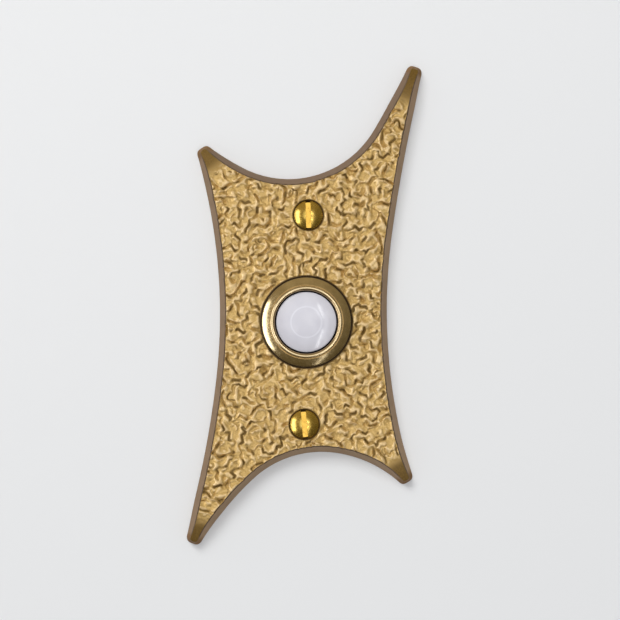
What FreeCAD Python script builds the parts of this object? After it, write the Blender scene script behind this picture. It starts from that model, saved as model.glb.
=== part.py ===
import FreeCAD, Part
import Sketcher
import math
import os
import random

# Doorbell push button: a cast brass faceplate with four unequal horns, a recessed
# round push button in its middle and two oval-head wood screws.
#
# Every piece is drawn in the same upright drawing frame: X to the right, Y up,
# Z out of the wall, with the back of the plate on Z = 0 and the axis of the push
# button on X = Y = 0. OUTWARD then stands that drawing up on the wall, so that
# the front faces -Y and up is +Z. All sizes are in millimetres and degrees.

OUTWARD = FreeCAD.Rotation(FreeCAD.Vector(1, 0, 0), 90)

os.makedirs("parts", exist_ok=True)
doc = FreeCAD.newDocument("DoorbellPush")
sheet = doc.addObject("Spreadsheet::Sheet", "Sizes")
sheet_rows = []

SIZES = {
    # Faceplate: its whole width and height, and how far it stands right of and above
    # the button's axis.
    "plate_width": 51.21,
    "plate_height": 109.56,
    "plate_right": 25.05,
    "plate_top": 58.55,
    "plate_thickness": 4.0,
    "bevel_width": 1.55,
    "side_overcut": 7.0,

    # Each side is three arcs that run into each other. The middle arc is placed by
    # its lowest point, the notch, and the outer two take over at the joins.
    "top_notch_height": 32.29,
    "top_notch_offset": -5.05,
    "top_radius": 22.42,
    "top_low_join": -15.19,
    "top_high_join": 14.41,
    "top_low_radius": 54.4,
    "top_high_radius": 138.9,
    "bottom_notch_height": -29.36,
    "bottom_notch_offset": 4.46,
    "bottom_radius": 22.77,
    "bottom_low_join": -11.33,
    "bottom_high_join": 7.27,
    "bottom_low_radius": 65.2,
    "bottom_high_radius": 27.6,
    "right_waist": 18.15,
    "right_waist_height": 5.43,
    "right_radius": 127.74,
    "right_low_join": -16.0,
    "right_high_join": 20.55,
    "right_low_radius": 127.74,
    "right_high_radius": 350.0,
    "left_waist": -19.2,
    "left_waist_height": 7.1,
    "left_radius": 215.26,
    "left_low_join": -36.92,
    "left_high_join": -13.16,
    "left_low_radius": 1500.0,
    "left_high_radius": 128.3,

    # Horns: the round ends, and which way each one points. The top right and bottom
    # left horns reach the plate's edges; the other two stand in and end sooner.
    "tip_radius": 1.8,
    "top_left_inset": 0.75,
    "top_left_tip_height": 37.66,
    "bottom_right_inset": 0.38,
    "bottom_right_tip_height": -34.55,
    "top_right_angle": 72.2,
    "top_left_angle": 125.3,
    "bottom_left_angle": 249.6,
    "bottom_right_angle": 302.4,
    "horn_slope_length": 9.5,
    "horn_tip_thickness": 1.8,
    "horn_overcut": 1.0,

    # Creases pressed all over the flat of the face, each a shallow bent V.
    "crease_spacing": 3.1,
    "crease_scatter": 0.93,
    "crease_shortest": 2.25,
    "crease_longest": 4.0,
    "crease_width": 0.7,
    "crease_depth": 0.35,
    "crease_bend": 0.5,
    "crease_margin": 0.35,

    # Barrel of the push button, with the flange that rests on the plate.
    "barrel_radius": 7.9,
    "barrel_hole_clearance": 0.2,
    "barrel_depth": 21.0,
    "flange_radius": 9.5,
    "flange_thickness": 1.0,
    "well_radius": 7.05,
    "well_depth": 7.5,
    "web_thickness": 1.5,
    "chamber_radius": 6.9,
    "base_seat_depth": 3.0,

    # Lock washer and nut, in a recess of the plate's back.
    "lock_washer_clearance": 0.1,
    "lock_washer_radius": 10.6,
    "lock_washer_thickness": 0.5,
    "lock_tooth_length": 1.1,
    "lock_notch_width": 3.0,
    "lock_notch_count": 6,
    "nut_across_flats": 19.0,
    "nut_thickness": 2.4,
    "nut_clearance": 0.05,
    "nut_recess_clearance": 0.8,
    "nut_recess_depth": 1.5,

    # Bezel ring: a low skirt, a sloping face, a fine crease and a rounded bead.
    "bezel_radius": 10.3,
    "bezel_skirt_height": 0.7,
    "bezel_slope_height": 1.05,
    "bead_radius": 8.3,
    "bead_height": 0.5,
    "bead_slant": 0.32,
    "flange_fit": 0.05,

    # Push cap with its stem, in one moulding.
    "cap_gap": 0.25,
    "cap_shoulder_height": 0.2,
    "cap_edge_chamfer": 0.5,
    "cap_dome_height": 1.1,
    "cap_ring_radius": 3.45,
    "cap_wall": 1.0,
    "cap_skirt_length": 4.4,
    "cap_front_thickness": 1.0,
    "stem_radius": 1.5,
    "stem_clearance": 0.08,
    "travel": 1.8,
    "travel_stop_gap": 0.05,
    "stem_end_radius": 1.2,
    "disc_thickness": 0.5,
    "disc_radius": 5.5,
    "disc_clearance": 0.05,
    "clip_thickness": 0.4,
    "clip_side_gap": 0.05,
    "groove_radius": 0.85,
    "clip_radius": 2.3,
    "clip_mouth": 1.3,
    "stem_tail": 1.0,

    # Return spring, round the stem between the web and the cap.
    "spring_radius": 3.3,
    "spring_wire_radius": 0.35,
    "spring_seat_gap": 0.05,
    "spring_turns": 3.5,
    "spring_steps_per_turn": 12,

    # Terminal base with its two contact strips, screws, washers and nuts.
    "base_clearance": 0.05,
    "base_thickness": 2.5,
    "terminal_spacing": 7.6,
    "terminal_shank_radius": 1.25,
    "terminal_clearance": 0.05,
    "strip_thickness": 0.5,
    "foot_half_width": 1.8,
    "foot_half_length": 2.2,
    "tab_width": 2.4,
    "tab_reach": 4.4,
    "contact_gap": 0.1,
    "terminal_nut_flats": 4.76,
    "terminal_nut_thickness": 1.6,
    "terminal_washer_half_width": 2.5,
    "terminal_washer_thickness": 0.5,
    "terminal_head_radius": 2.3,
    "terminal_head_height": 1.2,
    "terminal_screw_tail": 0.6,
    "terminal_slot_width": 0.8,
    "terminal_slot_depth": 0.8,

    # Oval-head wood screws and their countersunk holes.
    "top_screw_height": 24.1,
    "bottom_screw_height": -23.1,
    "top_slot_angle": 2.7,
    "bottom_slot_angle": 5.9,
    "screw_head_radius": 3.3,
    "screw_head_dome": 1.2,
    "screw_shank_radius": 1.75,
    "screw_thread_radius": 1.6,
    "screw_length": 19.05,
    "screw_point_length": 4.0,
    "sink_angle": 82.0,
    "sink_radius": 3.5,
    "screw_hole_radius": 1.9,
    "screw_seat_gap": 0.05,
    "screw_crown_radius": 1.2,
    "slot_width": 1.15,
    "slot_depth": 1.7,
}

# Sizes that follow from the ones above, and from each other.

DERIVED = {
    "plate_left": "plate_right - plate_width",
    "plate_bottom": "plate_top - plate_height",
    "top_right_tip": "plate_right - tip_radius",
    "top_right_tip_height": "plate_top - tip_radius",
    "top_left_tip": "plate_left + tip_radius + top_left_inset",
    "bottom_left_tip": "plate_left + tip_radius",
    "bottom_left_tip_height": "plate_bottom + tip_radius",
    "bottom_right_tip": "plate_right - tip_radius - bottom_right_inset",
    "top_reach": "plate_top + side_overcut",
    "bottom_reach": "plate_bottom - side_overcut",
    "right_reach": "plate_right + side_overcut",
    "left_reach": "plate_left - side_overcut",
    "bevel_angle": "atan(bevel_width / plate_thickness)",
    "top_centre": "top_notch_height + top_radius",
    "bottom_centre": "bottom_notch_height - bottom_radius",
    "right_centre": "right_waist + right_radius",
    "left_centre": "left_waist - left_radius",
    "horn_drop": "plate_thickness - horn_tip_thickness",
    "horn_slope_radius": "(horn_slope_length ^ 2 + horn_drop ^ 2) / (2 * horn_drop)",
    "horn_slope_centre": "plate_thickness - horn_slope_radius",
    "horn_cut_top": "plate_thickness + horn_overcut",
    "horn_cut_low":
        "horn_slope_centre + sqrt(horn_slope_radius ^ 2 - (horn_slope_length + horn_overcut) ^ 2)",
    "horn_cut_width": "8 * tip_radius",
    "barrel_hole_radius": "barrel_radius + barrel_hole_clearance",
    "barrel_rear": "plate_thickness - barrel_depth",
    "flange_front": "plate_thickness + flange_thickness",
    "web_front": "flange_front - well_depth",
    "web_rear": "web_front - web_thickness",
    "base_seat": "barrel_rear + base_seat_depth",
    "lock_washer_bore": "barrel_radius + lock_washer_clearance",
    "lock_notch_reach": "lock_washer_bore + lock_tooth_length",
    "lock_notch_half_width": "lock_notch_width / 2",
    "nut_bore": "barrel_radius + nut_clearance",
    "nut_corner_radius": "nut_across_flats / sqrt(3)",
    "nut_recess_radius": "nut_corner_radius + nut_recess_clearance",
    "nut_front": "nut_recess_depth - lock_washer_thickness",
    "nut_rear": "nut_front - nut_thickness",
    "bezel_skirt_top": "plate_thickness + bezel_skirt_height",
    "bead_foot": "bezel_skirt_top + bezel_slope_height",
    "bead_top": "bead_foot + bead_height",
    "bead_top_outer": "bead_radius - bead_slant",
    "bead_top_inner": "well_radius + bead_slant",
    "bezel_recess_radius": "flange_radius + flange_fit",
    "cap_radius": "well_radius - cap_gap",
    "cap_shoulder": "flange_front + cap_shoulder_height",
    "cap_dome_radius": "cap_radius - cap_edge_chamfer",
    "cap_rim": "cap_shoulder + cap_edge_chamfer",
    "cap_curve": "(cap_dome_radius ^ 2 + cap_dome_height ^ 2) / (2 * cap_dome_height)",
    "cap_curve_centre": "cap_rim + cap_dome_height - cap_curve",
    "cap_ring": "cap_curve_centre + sqrt(cap_curve ^ 2 - cap_ring_radius ^ 2)",
    "cap_brow_radius": "(cap_dome_radius + cap_ring_radius) / 2",
    "cap_brow": "cap_curve_centre + sqrt(cap_curve ^ 2 - cap_brow_radius ^ 2)",
    "cap_inner_radius": "cap_radius - cap_wall",
    "cap_skirt_end": "cap_shoulder - cap_skirt_length",
    "cap_ceiling": "cap_rim - cap_front_thickness",
    "stem_hole_radius": "stem_radius + stem_clearance",
    "stem_step": "web_rear - travel_stop_gap",
    "disc_bore": "stem_end_radius + disc_clearance",
    "disc_rear": "stem_step - disc_thickness",
    "clip_front": "disc_rear - clip_side_gap",
    "clip_rear": "clip_front - clip_thickness",
    "groove_rear": "clip_rear - clip_side_gap",
    "clip_bore": "groove_radius + clip_side_gap",
    "clip_half_mouth": "clip_mouth / 2",
    "stem_end": "groove_rear - stem_tail",
    "spring_start": "web_front + spring_wire_radius + spring_seat_gap",
    "spring_end": "cap_ceiling - spring_wire_radius - spring_seat_gap",
    "spring_height": "spring_end - spring_start",
    "base_radius": "chamber_radius - base_clearance",
    "base_rear": "base_seat - base_thickness",
    "terminal_offset": "terminal_spacing / 2",
    "terminal_hole_radius": "terminal_shank_radius + terminal_clearance",
    "strip_front": "base_seat + strip_thickness",
    "tab_side": "tab_width - foot_half_width",
    "tab_inner": "tab_reach - strip_thickness",
    "tab_front": "disc_rear - travel - contact_gap",
    "tab_height": "tab_front - base_seat",
    "terminal_nut_corner": "terminal_nut_flats / sqrt(3)",
    "terminal_nut_front": "strip_front + terminal_nut_thickness",
    "terminal_washer_rear": "base_rear - terminal_washer_thickness",
    "terminal_head_rear": "terminal_washer_rear - terminal_head_height",
    "terminal_screw_front": "terminal_nut_front + terminal_screw_tail",
    "terminal_slot_floor": "terminal_head_rear + terminal_slot_depth",
    "terminal_slot_half": "terminal_slot_width / 2",
    "sink_half_angle": "sink_angle / 2",
    "sink_depth": "(sink_radius - screw_hole_radius) / tan(sink_half_angle)",
    "sink_foot": "plate_thickness - sink_depth",
    "screw_edge":
        "sink_foot + (screw_head_radius - screw_hole_radius + screw_seat_gap) / tan(sink_half_angle)",
    "screw_neck": "screw_edge - (screw_head_radius - screw_shank_radius) / tan(sink_half_angle)",
    "screw_tip": "screw_edge - screw_length",
    "screw_point": "screw_tip + screw_point_length",
    "screw_top": "screw_edge + screw_head_dome",
    "screw_curve": "(screw_head_radius ^ 2 + screw_head_dome ^ 2) / (2 * screw_head_dome)",
    "screw_brow_radius": "(screw_head_radius + screw_crown_radius) / 2",
    "screw_brow": "screw_top - screw_curve + sqrt(screw_curve ^ 2 - screw_brow_radius ^ 2)",
    "slot_half_width": "slot_width / 2",
    "slot_floor": "screw_top - slot_depth",
}


def add_size(name, content):
    """One row of the sheet: the size's name, and its number or formula."""
    row = len(sheet_rows) + 1
    sheet_rows.append(name)
    sheet.set("A%d" % row, name)
    sheet.set("B%d" % row, content)
    sheet.setAlias("B%d" % row, name)


def derive(name, formula_text):
    add_size(name, "=" + formula_text)


for name, number in SIZES.items():
    add_size(name, str(number))
for name, formula_text in DERIVED.items():
    derive(name, formula_text)

doc.recompute()


def read(name):
    """The value of a size; a leading minus turns it round and 0 is the axis."""
    if name == "0":
        return 0.0
    if name.startswith("-"):
        return -float(sheet.get(name[1:]))
    return float(sheet.get(name))


def formula(name):
    """The expression that binds a property or a constraint to a size."""
    if name == "0":
        return "0"
    if name.startswith("-"):
        return "-Sizes." + name[1:]
    return "Sizes." + name


def bind(thing, prop, name):
    thing.setExpression(prop, formula(name))


def body(label):
    """An empty body that stands on the wall and is drawn face up."""
    new = doc.addObject("PartDesign::Body", label)
    new.Label = label
    new.Placement = FreeCAD.Placement(FreeCAD.Vector(0, 0, 0), OUTWARD)
    return new


def sketch_on(host, plane, name):
    """A sketch on one of the body's own planes."""
    sketch = host.newObject("Sketcher::SketchObject", name)
    plane = [p for p in host.Origin.OriginFeatures if p.Role == plane][0]
    sketch.AttachmentSupport = [(plane, "")]
    sketch.MapMode = "FlatFace"
    return sketch


def constrain(sketch, kind, where, name):
    """One dimension of a sketch, bound to a size."""
    row = sketch.addConstraint(Sketcher.Constraint(kind, *where, read(name)))
    sketch.setExpression("Constraints[%d]" % row, formula(name))


def pin(sketch, edge, end, x, y):
    """Holds a point of a sketch at two sizes from the drawing's axes."""
    for kind, axis, name in (("DistanceX", -2, x), ("DistanceY", -1, y)):
        if name == "0":
            sketch.addConstraint(Sketcher.Constraint("PointOnObject", edge, end, axis))
        else:
            constrain(sketch, kind, (-1, 1, edge, end), name)


def arc_between(start, end, radius, turn):
    """The shorter arc from start to end, and which of its ends comes first."""
    along = end - start
    middle = (start + end) * 0.5
    side = FreeCAD.Vector(-along.y, along.x, 0)
    side.normalize()
    reach = math.sqrt(max(radius ** 2 - (along.Length / 2) ** 2, 0))
    centre = middle + side * (reach if turn == "left" else -reach)
    first = math.atan2(start.y - centre.y, start.x - centre.x)
    last = math.atan2(end.y - centre.y, end.x - centre.x)
    if turn == "right":
        first, last = last, first
    circle = Part.Circle(centre, FreeCAD.Vector(0, 0, 1), radius)
    return Part.ArcOfCircle(circle, first, last if last > first else last + 2 * math.pi)


def outline(sketch, corners):
    """A closed outline through corners given as (x, y), (x, y, radius, turn).

    A corner with a radius starts an arc that turns left or right to the next.
    """
    count = len(corners)
    points = [FreeCAD.Vector(read(c[0]), read(c[1]), 0) for c in corners]
    ends = []
    first_edge = sketch.GeometryCount
    for i, corner in enumerate(corners):
        start, end = points[i], points[(i + 1) % count]
        if len(corner) == 2:
            sketch.addGeometry(Part.LineSegment(start, end), False)
            ends.append((1, 2))
        else:
            edge = arc_between(start, end, read(corner[2]), corner[3])
            sketch.addGeometry(edge, False)
            ends.append((1, 2) if corner[3] == "left" else (2, 1))
    for i, corner in enumerate(corners):
        edge, after = first_edge + i, first_edge + (i + 1) % count
        meet = (edge, ends[i][1], after, ends[(i + 1) % count][0])
        sketch.addConstraint(Sketcher.Constraint("Coincident", *meet))
        pin(sketch, edge, ends[i][0], corner[0], corner[1])
        if len(corner) > 2:
            constrain(sketch, "Radius", (edge,), corner[2])


def circle(sketch, radius, x="0", y="0"):
    centre = FreeCAD.Vector(read(x), read(y), 0)
    edge = sketch.addGeometry(Part.Circle(centre, FreeCAD.Vector(0, 0, 1), read(radius)), False)
    pin(sketch, edge, 3, x, y)
    constrain(sketch, "Radius", (edge,), radius)


def turn(host, name, corners):
    """A turned solid: corners are (radius, depth) about the button's axis."""
    sketch = sketch_on(host, "XZ_Plane", name + "_profile")
    outline(sketch, corners)
    solid = host.newObject("PartDesign::Revolution", name)
    solid.Profile = sketch
    solid.ReferenceAxis = (sketch, ["V_Axis"])
    solid.Angle = 360
    host.Tip = solid
    return solid


def level_sketch(host, name, level):
    """A sketch parallel to the wall, at a size out from it."""
    sketch = sketch_on(host, "XY_Plane", name)
    if level != "0":
        bind(sketch, "AttachmentOffset.Base.z", level)
    return sketch


def pad(host, name, sketch, length):
    solid = host.newObject("PartDesign::Pad", name)
    solid.Profile = sketch
    bind(solid, "Length", length)
    host.Tip = solid
    return solid


def pocket(host, name, sketch, length, outward=False):
    """A cut from its sketch back towards the wall, or outward from it."""
    cut = host.newObject("PartDesign::Pocket", name)
    cut.Profile = sketch
    cut.Reversed = outward
    bind(cut, "Length", length)
    host.Tip = cut
    return cut


def unit(angle):
    return FreeCAD.Vector(math.cos(angle), math.sin(angle), 0)


# Faceplate

plate_body = body("plate_casting")
plate_body.Placement = FreeCAD.Placement()

HORNS = ("top_right", "top_left", "bottom_left", "bottom_right")


def horn_hull(sketch):
    """The blank: the four round horn ends, joined by straight lines."""
    radius = read("tip_radius")
    centres = [FreeCAD.Vector(read(h + "_tip"), read(h + "_tip_height"), 0) for h in HORNS]
    count = len(HORNS)
    leave = []
    for i in range(count):
        run = centres[(i + 1) % count] - centres[i]
        leave.append(math.atan2(run.y, run.x) - math.pi / 2)
    for i in range(count):
        first, last = leave[i - 1], leave[i]
        while last < first:
            last += 2 * math.pi
        ring = Part.Circle(centres[i], FreeCAD.Vector(0, 0, 1), radius)
        sketch.addGeometry(Part.ArcOfCircle(ring, first, last), False)
    for i in range(count):
        out = unit(leave[i]) * radius
        line = Part.LineSegment(centres[i] + out, centres[(i + 1) % count] + out)
        sketch.addGeometry(line, False)
    for i, horn in enumerate(HORNS):
        pin(sketch, i, 3, horn + "_tip", horn + "_tip_height")
        constrain(sketch, "Radius", (i,), "tip_radius")
        side, after = count + i, (i + 1) % count
        sketch.addConstraint(Sketcher.Constraint("Tangent", i, 2, side, 1))
        sketch.addConstraint(Sketcher.Constraint("Tangent", side, 2, after, 1))


def side_chain(sketch, side):
    """Three arcs that run into each other, closed well outside the blank."""
    upright = side in ("right", "left")
    outward = 1 if side in ("right", "top") else -1

    def place(along, out):
        return FreeCAD.Vector(out, along, 0) if upright else FreeCAD.Vector(along, out, 0)

    radius, reach = read(side + "_radius"), read(side + "_reach")
    along_size = side + ("_waist_height" if upright else "_notch_offset")
    centre = place(read(along_size), read(side + "_centre"))
    edges = []
    for end, limit in (("low", -1), ("high", 1)):
        join = read(side + "_%s_join" % end) - read(along_size)
        joint = centre + place(join, -outward * math.sqrt(radius ** 2 - join ** 2))
        end_radius = read(side + "_%s_radius" % end)
        end_centre = joint + (centre - joint) * (end_radius / radius)
        gap = reach - (end_centre.x if upright else end_centre.y)
        half = math.sqrt(end_radius ** 2 - gap ** 2)
        edges.append((joint, end_centre, end_radius, end_centre + place(limit * half, gap)))

    def arc(middle, size_, start, end):
        """The short arc between two points, and whether it starts at start."""
        first = math.atan2(start.y - middle.y, start.x - middle.x)
        last = math.atan2(end.y - middle.y, end.x - middle.x)
        sweep = (last - first) % (2 * math.pi)
        ring = Part.Circle(middle, FreeCAD.Vector(0, 0, 1), size_)
        if sweep < math.pi:
            return Part.ArcOfCircle(ring, first, first + sweep), True
        return Part.ArcOfCircle(ring, last, last + 2 * math.pi - sweep), False

    (low_joint, low_centre, low_size, low_end), (high_joint, high_centre, high_size, high_end) = edges
    middle_arc, middle_forward = arc(centre, radius, low_joint, high_joint)
    low_arc, low_forward = arc(low_centre, low_size, low_end, low_joint)
    high_arc, high_forward = arc(high_centre, high_size, high_joint, high_end)
    for edge in (middle_arc, low_arc, high_arc, Part.LineSegment(high_end, low_end)):
        sketch.addGeometry(edge, False)
    start = {True: 1, False: 2}
    stop = {True: 2, False: 1}
    centre_pin = (side + "_centre", along_size) if upright else (along_size, side + "_centre")
    pin(sketch, 0, 3, *centre_pin)
    constrain(sketch, "Radius", (0,), side + "_radius")
    constrain(sketch, "Radius", (1,), side + "_low_radius")
    constrain(sketch, "Radius", (2,), side + "_high_radius")
    for end_arc, end, middle_end in (
        (1, stop[low_forward], start[middle_forward]),
        (2, start[high_forward], stop[middle_forward]),
    ):
        sketch.addConstraint(Sketcher.Constraint("Tangent", end_arc, end, 0, middle_end))
    run = "DistanceY" if upright else "DistanceX"
    constrain(sketch, run, (-1, 1, 0, start[middle_forward]), side + "_low_join")
    constrain(sketch, run, (-1, 1, 0, stop[middle_forward]), side + "_high_join")
    far = "DistanceX" if upright else "DistanceY"
    for where in ((1, start[low_forward]), (2, stop[high_forward])):
        constrain(sketch, far, (-1, 1, *where), side + "_reach")
    sketch.addConstraint(Sketcher.Constraint("Coincident", 3, 1, 2, stop[high_forward]))
    sketch.addConstraint(Sketcher.Constraint("Coincident", 3, 2, 1, start[low_forward]))


blank_sketch = sketch_on(plate_body, "XY_Plane", "blank_outline")
horn_hull(blank_sketch)
pad(plate_body, "blank", blank_sketch, "plate_thickness")

for side in ("top", "bottom", "right", "left"):
    chain = sketch_on(plate_body, "XY_Plane", side + "_side_curve")
    side_chain(chain, side)
    bevel = pocket(plate_body, side + "_side", chain, "plate_thickness", outward=True)
    bind(bevel, "TaperAngle", "bevel_angle")

for horn in HORNS:
    derive(horn + "_end", "%s_tip + tip_radius * cos(%s_angle)" % (horn, horn))
    derive(horn + "_end_height", "%s_tip_height + tip_radius * sin(%s_angle)" % (horn, horn))
doc.recompute()

for horn in HORNS:
    slope_sketch = sketch_on(plate_body, "XZ_Plane", horn + "_slope_profile")
    swing = FreeCAD.Rotation(FreeCAD.Vector(0, 1, 0), read(horn + "_angle"))
    slope_sketch.AttachmentOffset = FreeCAD.Placement(FreeCAD.Vector(0, 0, 0), swing)
    bind(slope_sketch, "AttachmentOffset.Base.x", horn + "_end")
    bind(slope_sketch, "AttachmentOffset.Base.z", "-" + horn + "_end_height")
    bind(slope_sketch, "AttachmentOffset.Rotation.Angle", horn + "_angle")
    outline(slope_sketch, [
        ("-horn_slope_length", "plate_thickness", "horn_slope_radius", "right"),
        ("horn_overcut", "horn_cut_low"),
        ("horn_overcut", "horn_cut_top"),
        ("-horn_slope_length", "horn_cut_top"),
    ])
    slope = pocket(plate_body, horn + "_slope", slope_sketch, "horn_cut_width")
    slope.SideType = "Symmetric"

bore_sketch = level_sketch(plate_body, "barrel_hole_circle", "0")
circle(bore_sketch, "barrel_hole_radius")
pocket(plate_body, "barrel_hole", bore_sketch, "plate_thickness", outward=True)

recess_sketch = level_sketch(plate_body, "nut_recess_circle", "0")
circle(recess_sketch, "nut_recess_radius")
pocket(plate_body, "nut_recess", recess_sketch, "nut_recess_depth", outward=True)

hole_sketch = level_sketch(plate_body, "screw_hole_circles", "0")
sink_sketch = level_sketch(plate_body, "screw_sink_circles", "plate_thickness")
for screw in ("top", "bottom"):
    circle(hole_sketch, "screw_hole_radius", "0", screw + "_screw_height")
    circle(sink_sketch, "sink_radius", "0", screw + "_screw_height")
pocket(plate_body, "screw_holes", hole_sketch, "plate_thickness", outward=True)
sinks = pocket(plate_body, "screw_sinks", sink_sketch, "sink_depth")
sinks.setExpression("TaperAngle", "-Sizes.sink_half_angle")


def crease_cutter(middle, angle, length, bend):
    """A pyramid, point down, that leaves one bent crease in the face."""
    depth, half = read("crease_depth"), read("crease_width") / 2
    along, across = unit(angle), unit(angle + math.pi / 2)
    rim = (
        along * (-length / 2) + across * bend,
        across * -half,
        along * (length / 2) + across * bend,
        across * half,
    )
    point = middle - FreeCAD.Vector(0, 0, depth)
    top = [middle + corner * 2 + FreeCAD.Vector(0, 0, depth) for corner in rim]
    faces = [Part.Face(Part.makePolygon(top + top[:1]))]
    for k in range(4):
        faces.append(Part.Face(Part.makePolygon([top[k], top[(k + 1) % 4], point, top[k]])))
    return Part.Solid(Part.Shell(faces))


def crease_layout(face, edges):
    """Middles, angles, lengths and bends of the creases, on a loose lattice."""
    chance = random.Random(11)
    spacing, margin = read("crease_spacing"), read("crease_margin")
    scatter, row_pitch = read("crease_scatter"), spacing * math.sqrt(3) / 2
    box, level = face.BoundBox, read("plate_thickness")
    rows_up = int(box.YLength / row_pitch) + 1
    columns = int(box.XLength / spacing) + 2
    placed = []
    for row in range(rows_up):
        for column in range(columns):
            shift = unit(chance.uniform(-math.pi, math.pi)) * chance.uniform(0, scatter)
            angle = chance.uniform(0, math.pi)
            length = chance.uniform(read("crease_shortest"), read("crease_longest"))
            bend = read("crease_bend") * chance.uniform(-1, 1)
            lattice = FreeCAD.Vector((column + (row % 2) / 2) * spacing, row * row_pitch, 0)
            middle = FreeCAD.Vector(box.XMin, box.YMin, level) + lattice + shift
            spine = [
                middle + unit(angle) * (length * k / 2) + unit(angle + math.pi / 2) * (bend * abs(k))
                for k in (-1, -0.5, 0, 0.5, 1)
            ]
            crowded = any(
                (one - other).Length < read("crease_width")
                for spine_placed, *_ in placed
                if (spine_placed[2] - middle).Length < 2 * read("crease_longest")
                for other in spine_placed
                for one in spine
            )
            if crowded or not all(face.isInside(one, 0.001, False) for one in spine[::2]):
                continue
            if Part.makePolygon(spine).distToShape(edges)[0] < margin + read("crease_width") / 2:
                continue
            placed.append((spine, middle, angle, length, bend))
    return [entry[1:] for entry in placed]


doc.recompute()
flats = [f for f in plate_body.Shape.Faces if abs(f.BoundBox.ZMin - read("plate_thickness")) < 1e-6]
flat = max(flats, key=lambda f: f.Area)
creases = doc.addObject("Part::Feature", "face_creases")
creases.Shape = Part.makeCompound(
    [crease_cutter(*entry) for entry in crease_layout(flat, Part.makeCompound(flat.Wires))]
)
faceplate = doc.addObject("Part::Cut", "faceplate")
faceplate.Label = "faceplate"
faceplate.Base = plate_body
faceplate.Tool = creases
faceplate.Placement = FreeCAD.Placement(FreeCAD.Vector(0, 0, 0), OUTWARD)

# Push-button barrel

housing = body("barrel_housing")
turn(housing, "housing_shell", [
    ("well_radius", "flange_front"),
    ("well_radius", "web_front"),
    ("stem_hole_radius", "web_front"),
    ("stem_hole_radius", "web_rear"),
    ("chamber_radius", "web_rear"),
    ("chamber_radius", "barrel_rear"),
    ("barrel_radius", "barrel_rear"),
    ("barrel_radius", "plate_thickness"),
    ("flange_radius", "plate_thickness"),
    ("flange_radius", "flange_front"),
])

bezel = body("bezel_ring")
turn(bezel, "bezel_section", [
    ("well_radius", "flange_front"),
    ("bezel_recess_radius", "flange_front"),
    ("bezel_recess_radius", "plate_thickness"),
    ("bezel_radius", "plate_thickness"),
    ("bezel_radius", "bezel_skirt_top"),
    ("bead_radius", "bead_foot"),
    ("bead_top_outer", "bead_top"),
    ("bead_top_inner", "bead_top"),
    ("well_radius", "bead_foot"),
])

# Push cap and stem

cap = body("push_cap")
turn(cap, "cap_section", [
    ("0", "stem_end"),
    ("stem_end_radius", "stem_end"),
    ("stem_end_radius", "groove_rear"),
    ("groove_radius", "groove_rear"),
    ("groove_radius", "clip_front"),
    ("stem_end_radius", "clip_front"),
    ("stem_end_radius", "stem_step"),
    ("stem_radius", "stem_step"),
    ("stem_radius", "cap_ceiling"),
    ("cap_inner_radius", "cap_ceiling"),
    ("cap_inner_radius", "cap_skirt_end"),
    ("cap_radius", "cap_skirt_end"),
    ("cap_radius", "cap_shoulder"),
    ("cap_dome_radius", "cap_rim"),
    ("cap_brow_radius", "cap_brow"),
    ("cap_ring_radius", "cap_ring"),
    ("0", "cap_ring"),
])

disc = body("contact_disc")
turn(disc, "disc_section", [
    ("disc_bore", "disc_rear"),
    ("disc_radius", "disc_rear"),
    ("disc_radius", "stem_step"),
    ("disc_bore", "stem_step"),
])

clip = body("stem_clip")
clip_sketch = level_sketch(clip, "clip_circles", "clip_rear")
circle(clip_sketch, "clip_radius")
circle(clip_sketch, "clip_bore")
pad(clip, "clip_blank", clip_sketch, "clip_thickness")
mouth_sketch = level_sketch(clip, "clip_mouth_outline", "clip_rear")
outline(mouth_sketch, [
    ("0", "-clip_half_mouth"),
    ("clip_radius", "-clip_half_mouth"),
    ("clip_radius", "clip_half_mouth"),
    ("0", "clip_half_mouth"),
])
pocket(clip, "clip_opening", mouth_sketch, "clip_thickness", outward=True)

spring = doc.addObject("Part::Feature", "return_spring")
spring.Label = "return_spring"


def wire_section(turned):
    """The square section of the spring wire after so many turns."""
    angle = 2 * math.pi * turned
    out = unit(angle)
    rise = read("spring_start") + read("spring_height") * turned / read("spring_turns")
    middle = out * read("spring_radius") + FreeCAD.Vector(0, 0, rise)
    corners = []
    for k in range(4):
        lean = math.pi * k / 2
        across = out * math.cos(lean) + FreeCAD.Vector(0, 0, 1) * math.sin(lean)
        corners.append(middle + across * read("spring_wire_radius"))
    return Part.makePolygon(corners + corners[:1])


step_count = round(read("spring_turns") * read("spring_steps_per_turn"))
sections = [wire_section(read("spring_turns") * k / step_count) for k in range(step_count + 1)]
spring.Shape = Part.makeLoft(sections, True, True)
spring.Placement = FreeCAD.Placement(FreeCAD.Vector(0, 0, 0), OUTWARD)

# Lock washer and barrel nut

lock_washer = body("lock_washer")
washer_sketch = level_sketch(lock_washer, "washer_circles", "nut_front")
circle(washer_sketch, "lock_washer_radius")
circle(washer_sketch, "lock_washer_bore")
pad(lock_washer, "washer_blank", washer_sketch, "lock_washer_thickness")
notch_sketch = level_sketch(lock_washer, "notch_outline", "nut_front")
outline(notch_sketch, [
    ("barrel_radius", "-lock_notch_half_width"),
    ("lock_notch_reach", "-lock_notch_half_width"),
    ("lock_notch_reach", "lock_notch_half_width"),
    ("barrel_radius", "lock_notch_half_width"),
])
notch = pocket(lock_washer, "notch", notch_sketch, "lock_washer_thickness", outward=True)
notches = lock_washer.newObject("PartDesign::PolarPattern", "notches")
notches.Originals = [notch]
notches.Axis = (notch_sketch, ["N_Axis"])
notches.Angle = 360
lock_washer.Tip = notches
bind(notches, "Occurrences", "lock_notch_count")


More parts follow.
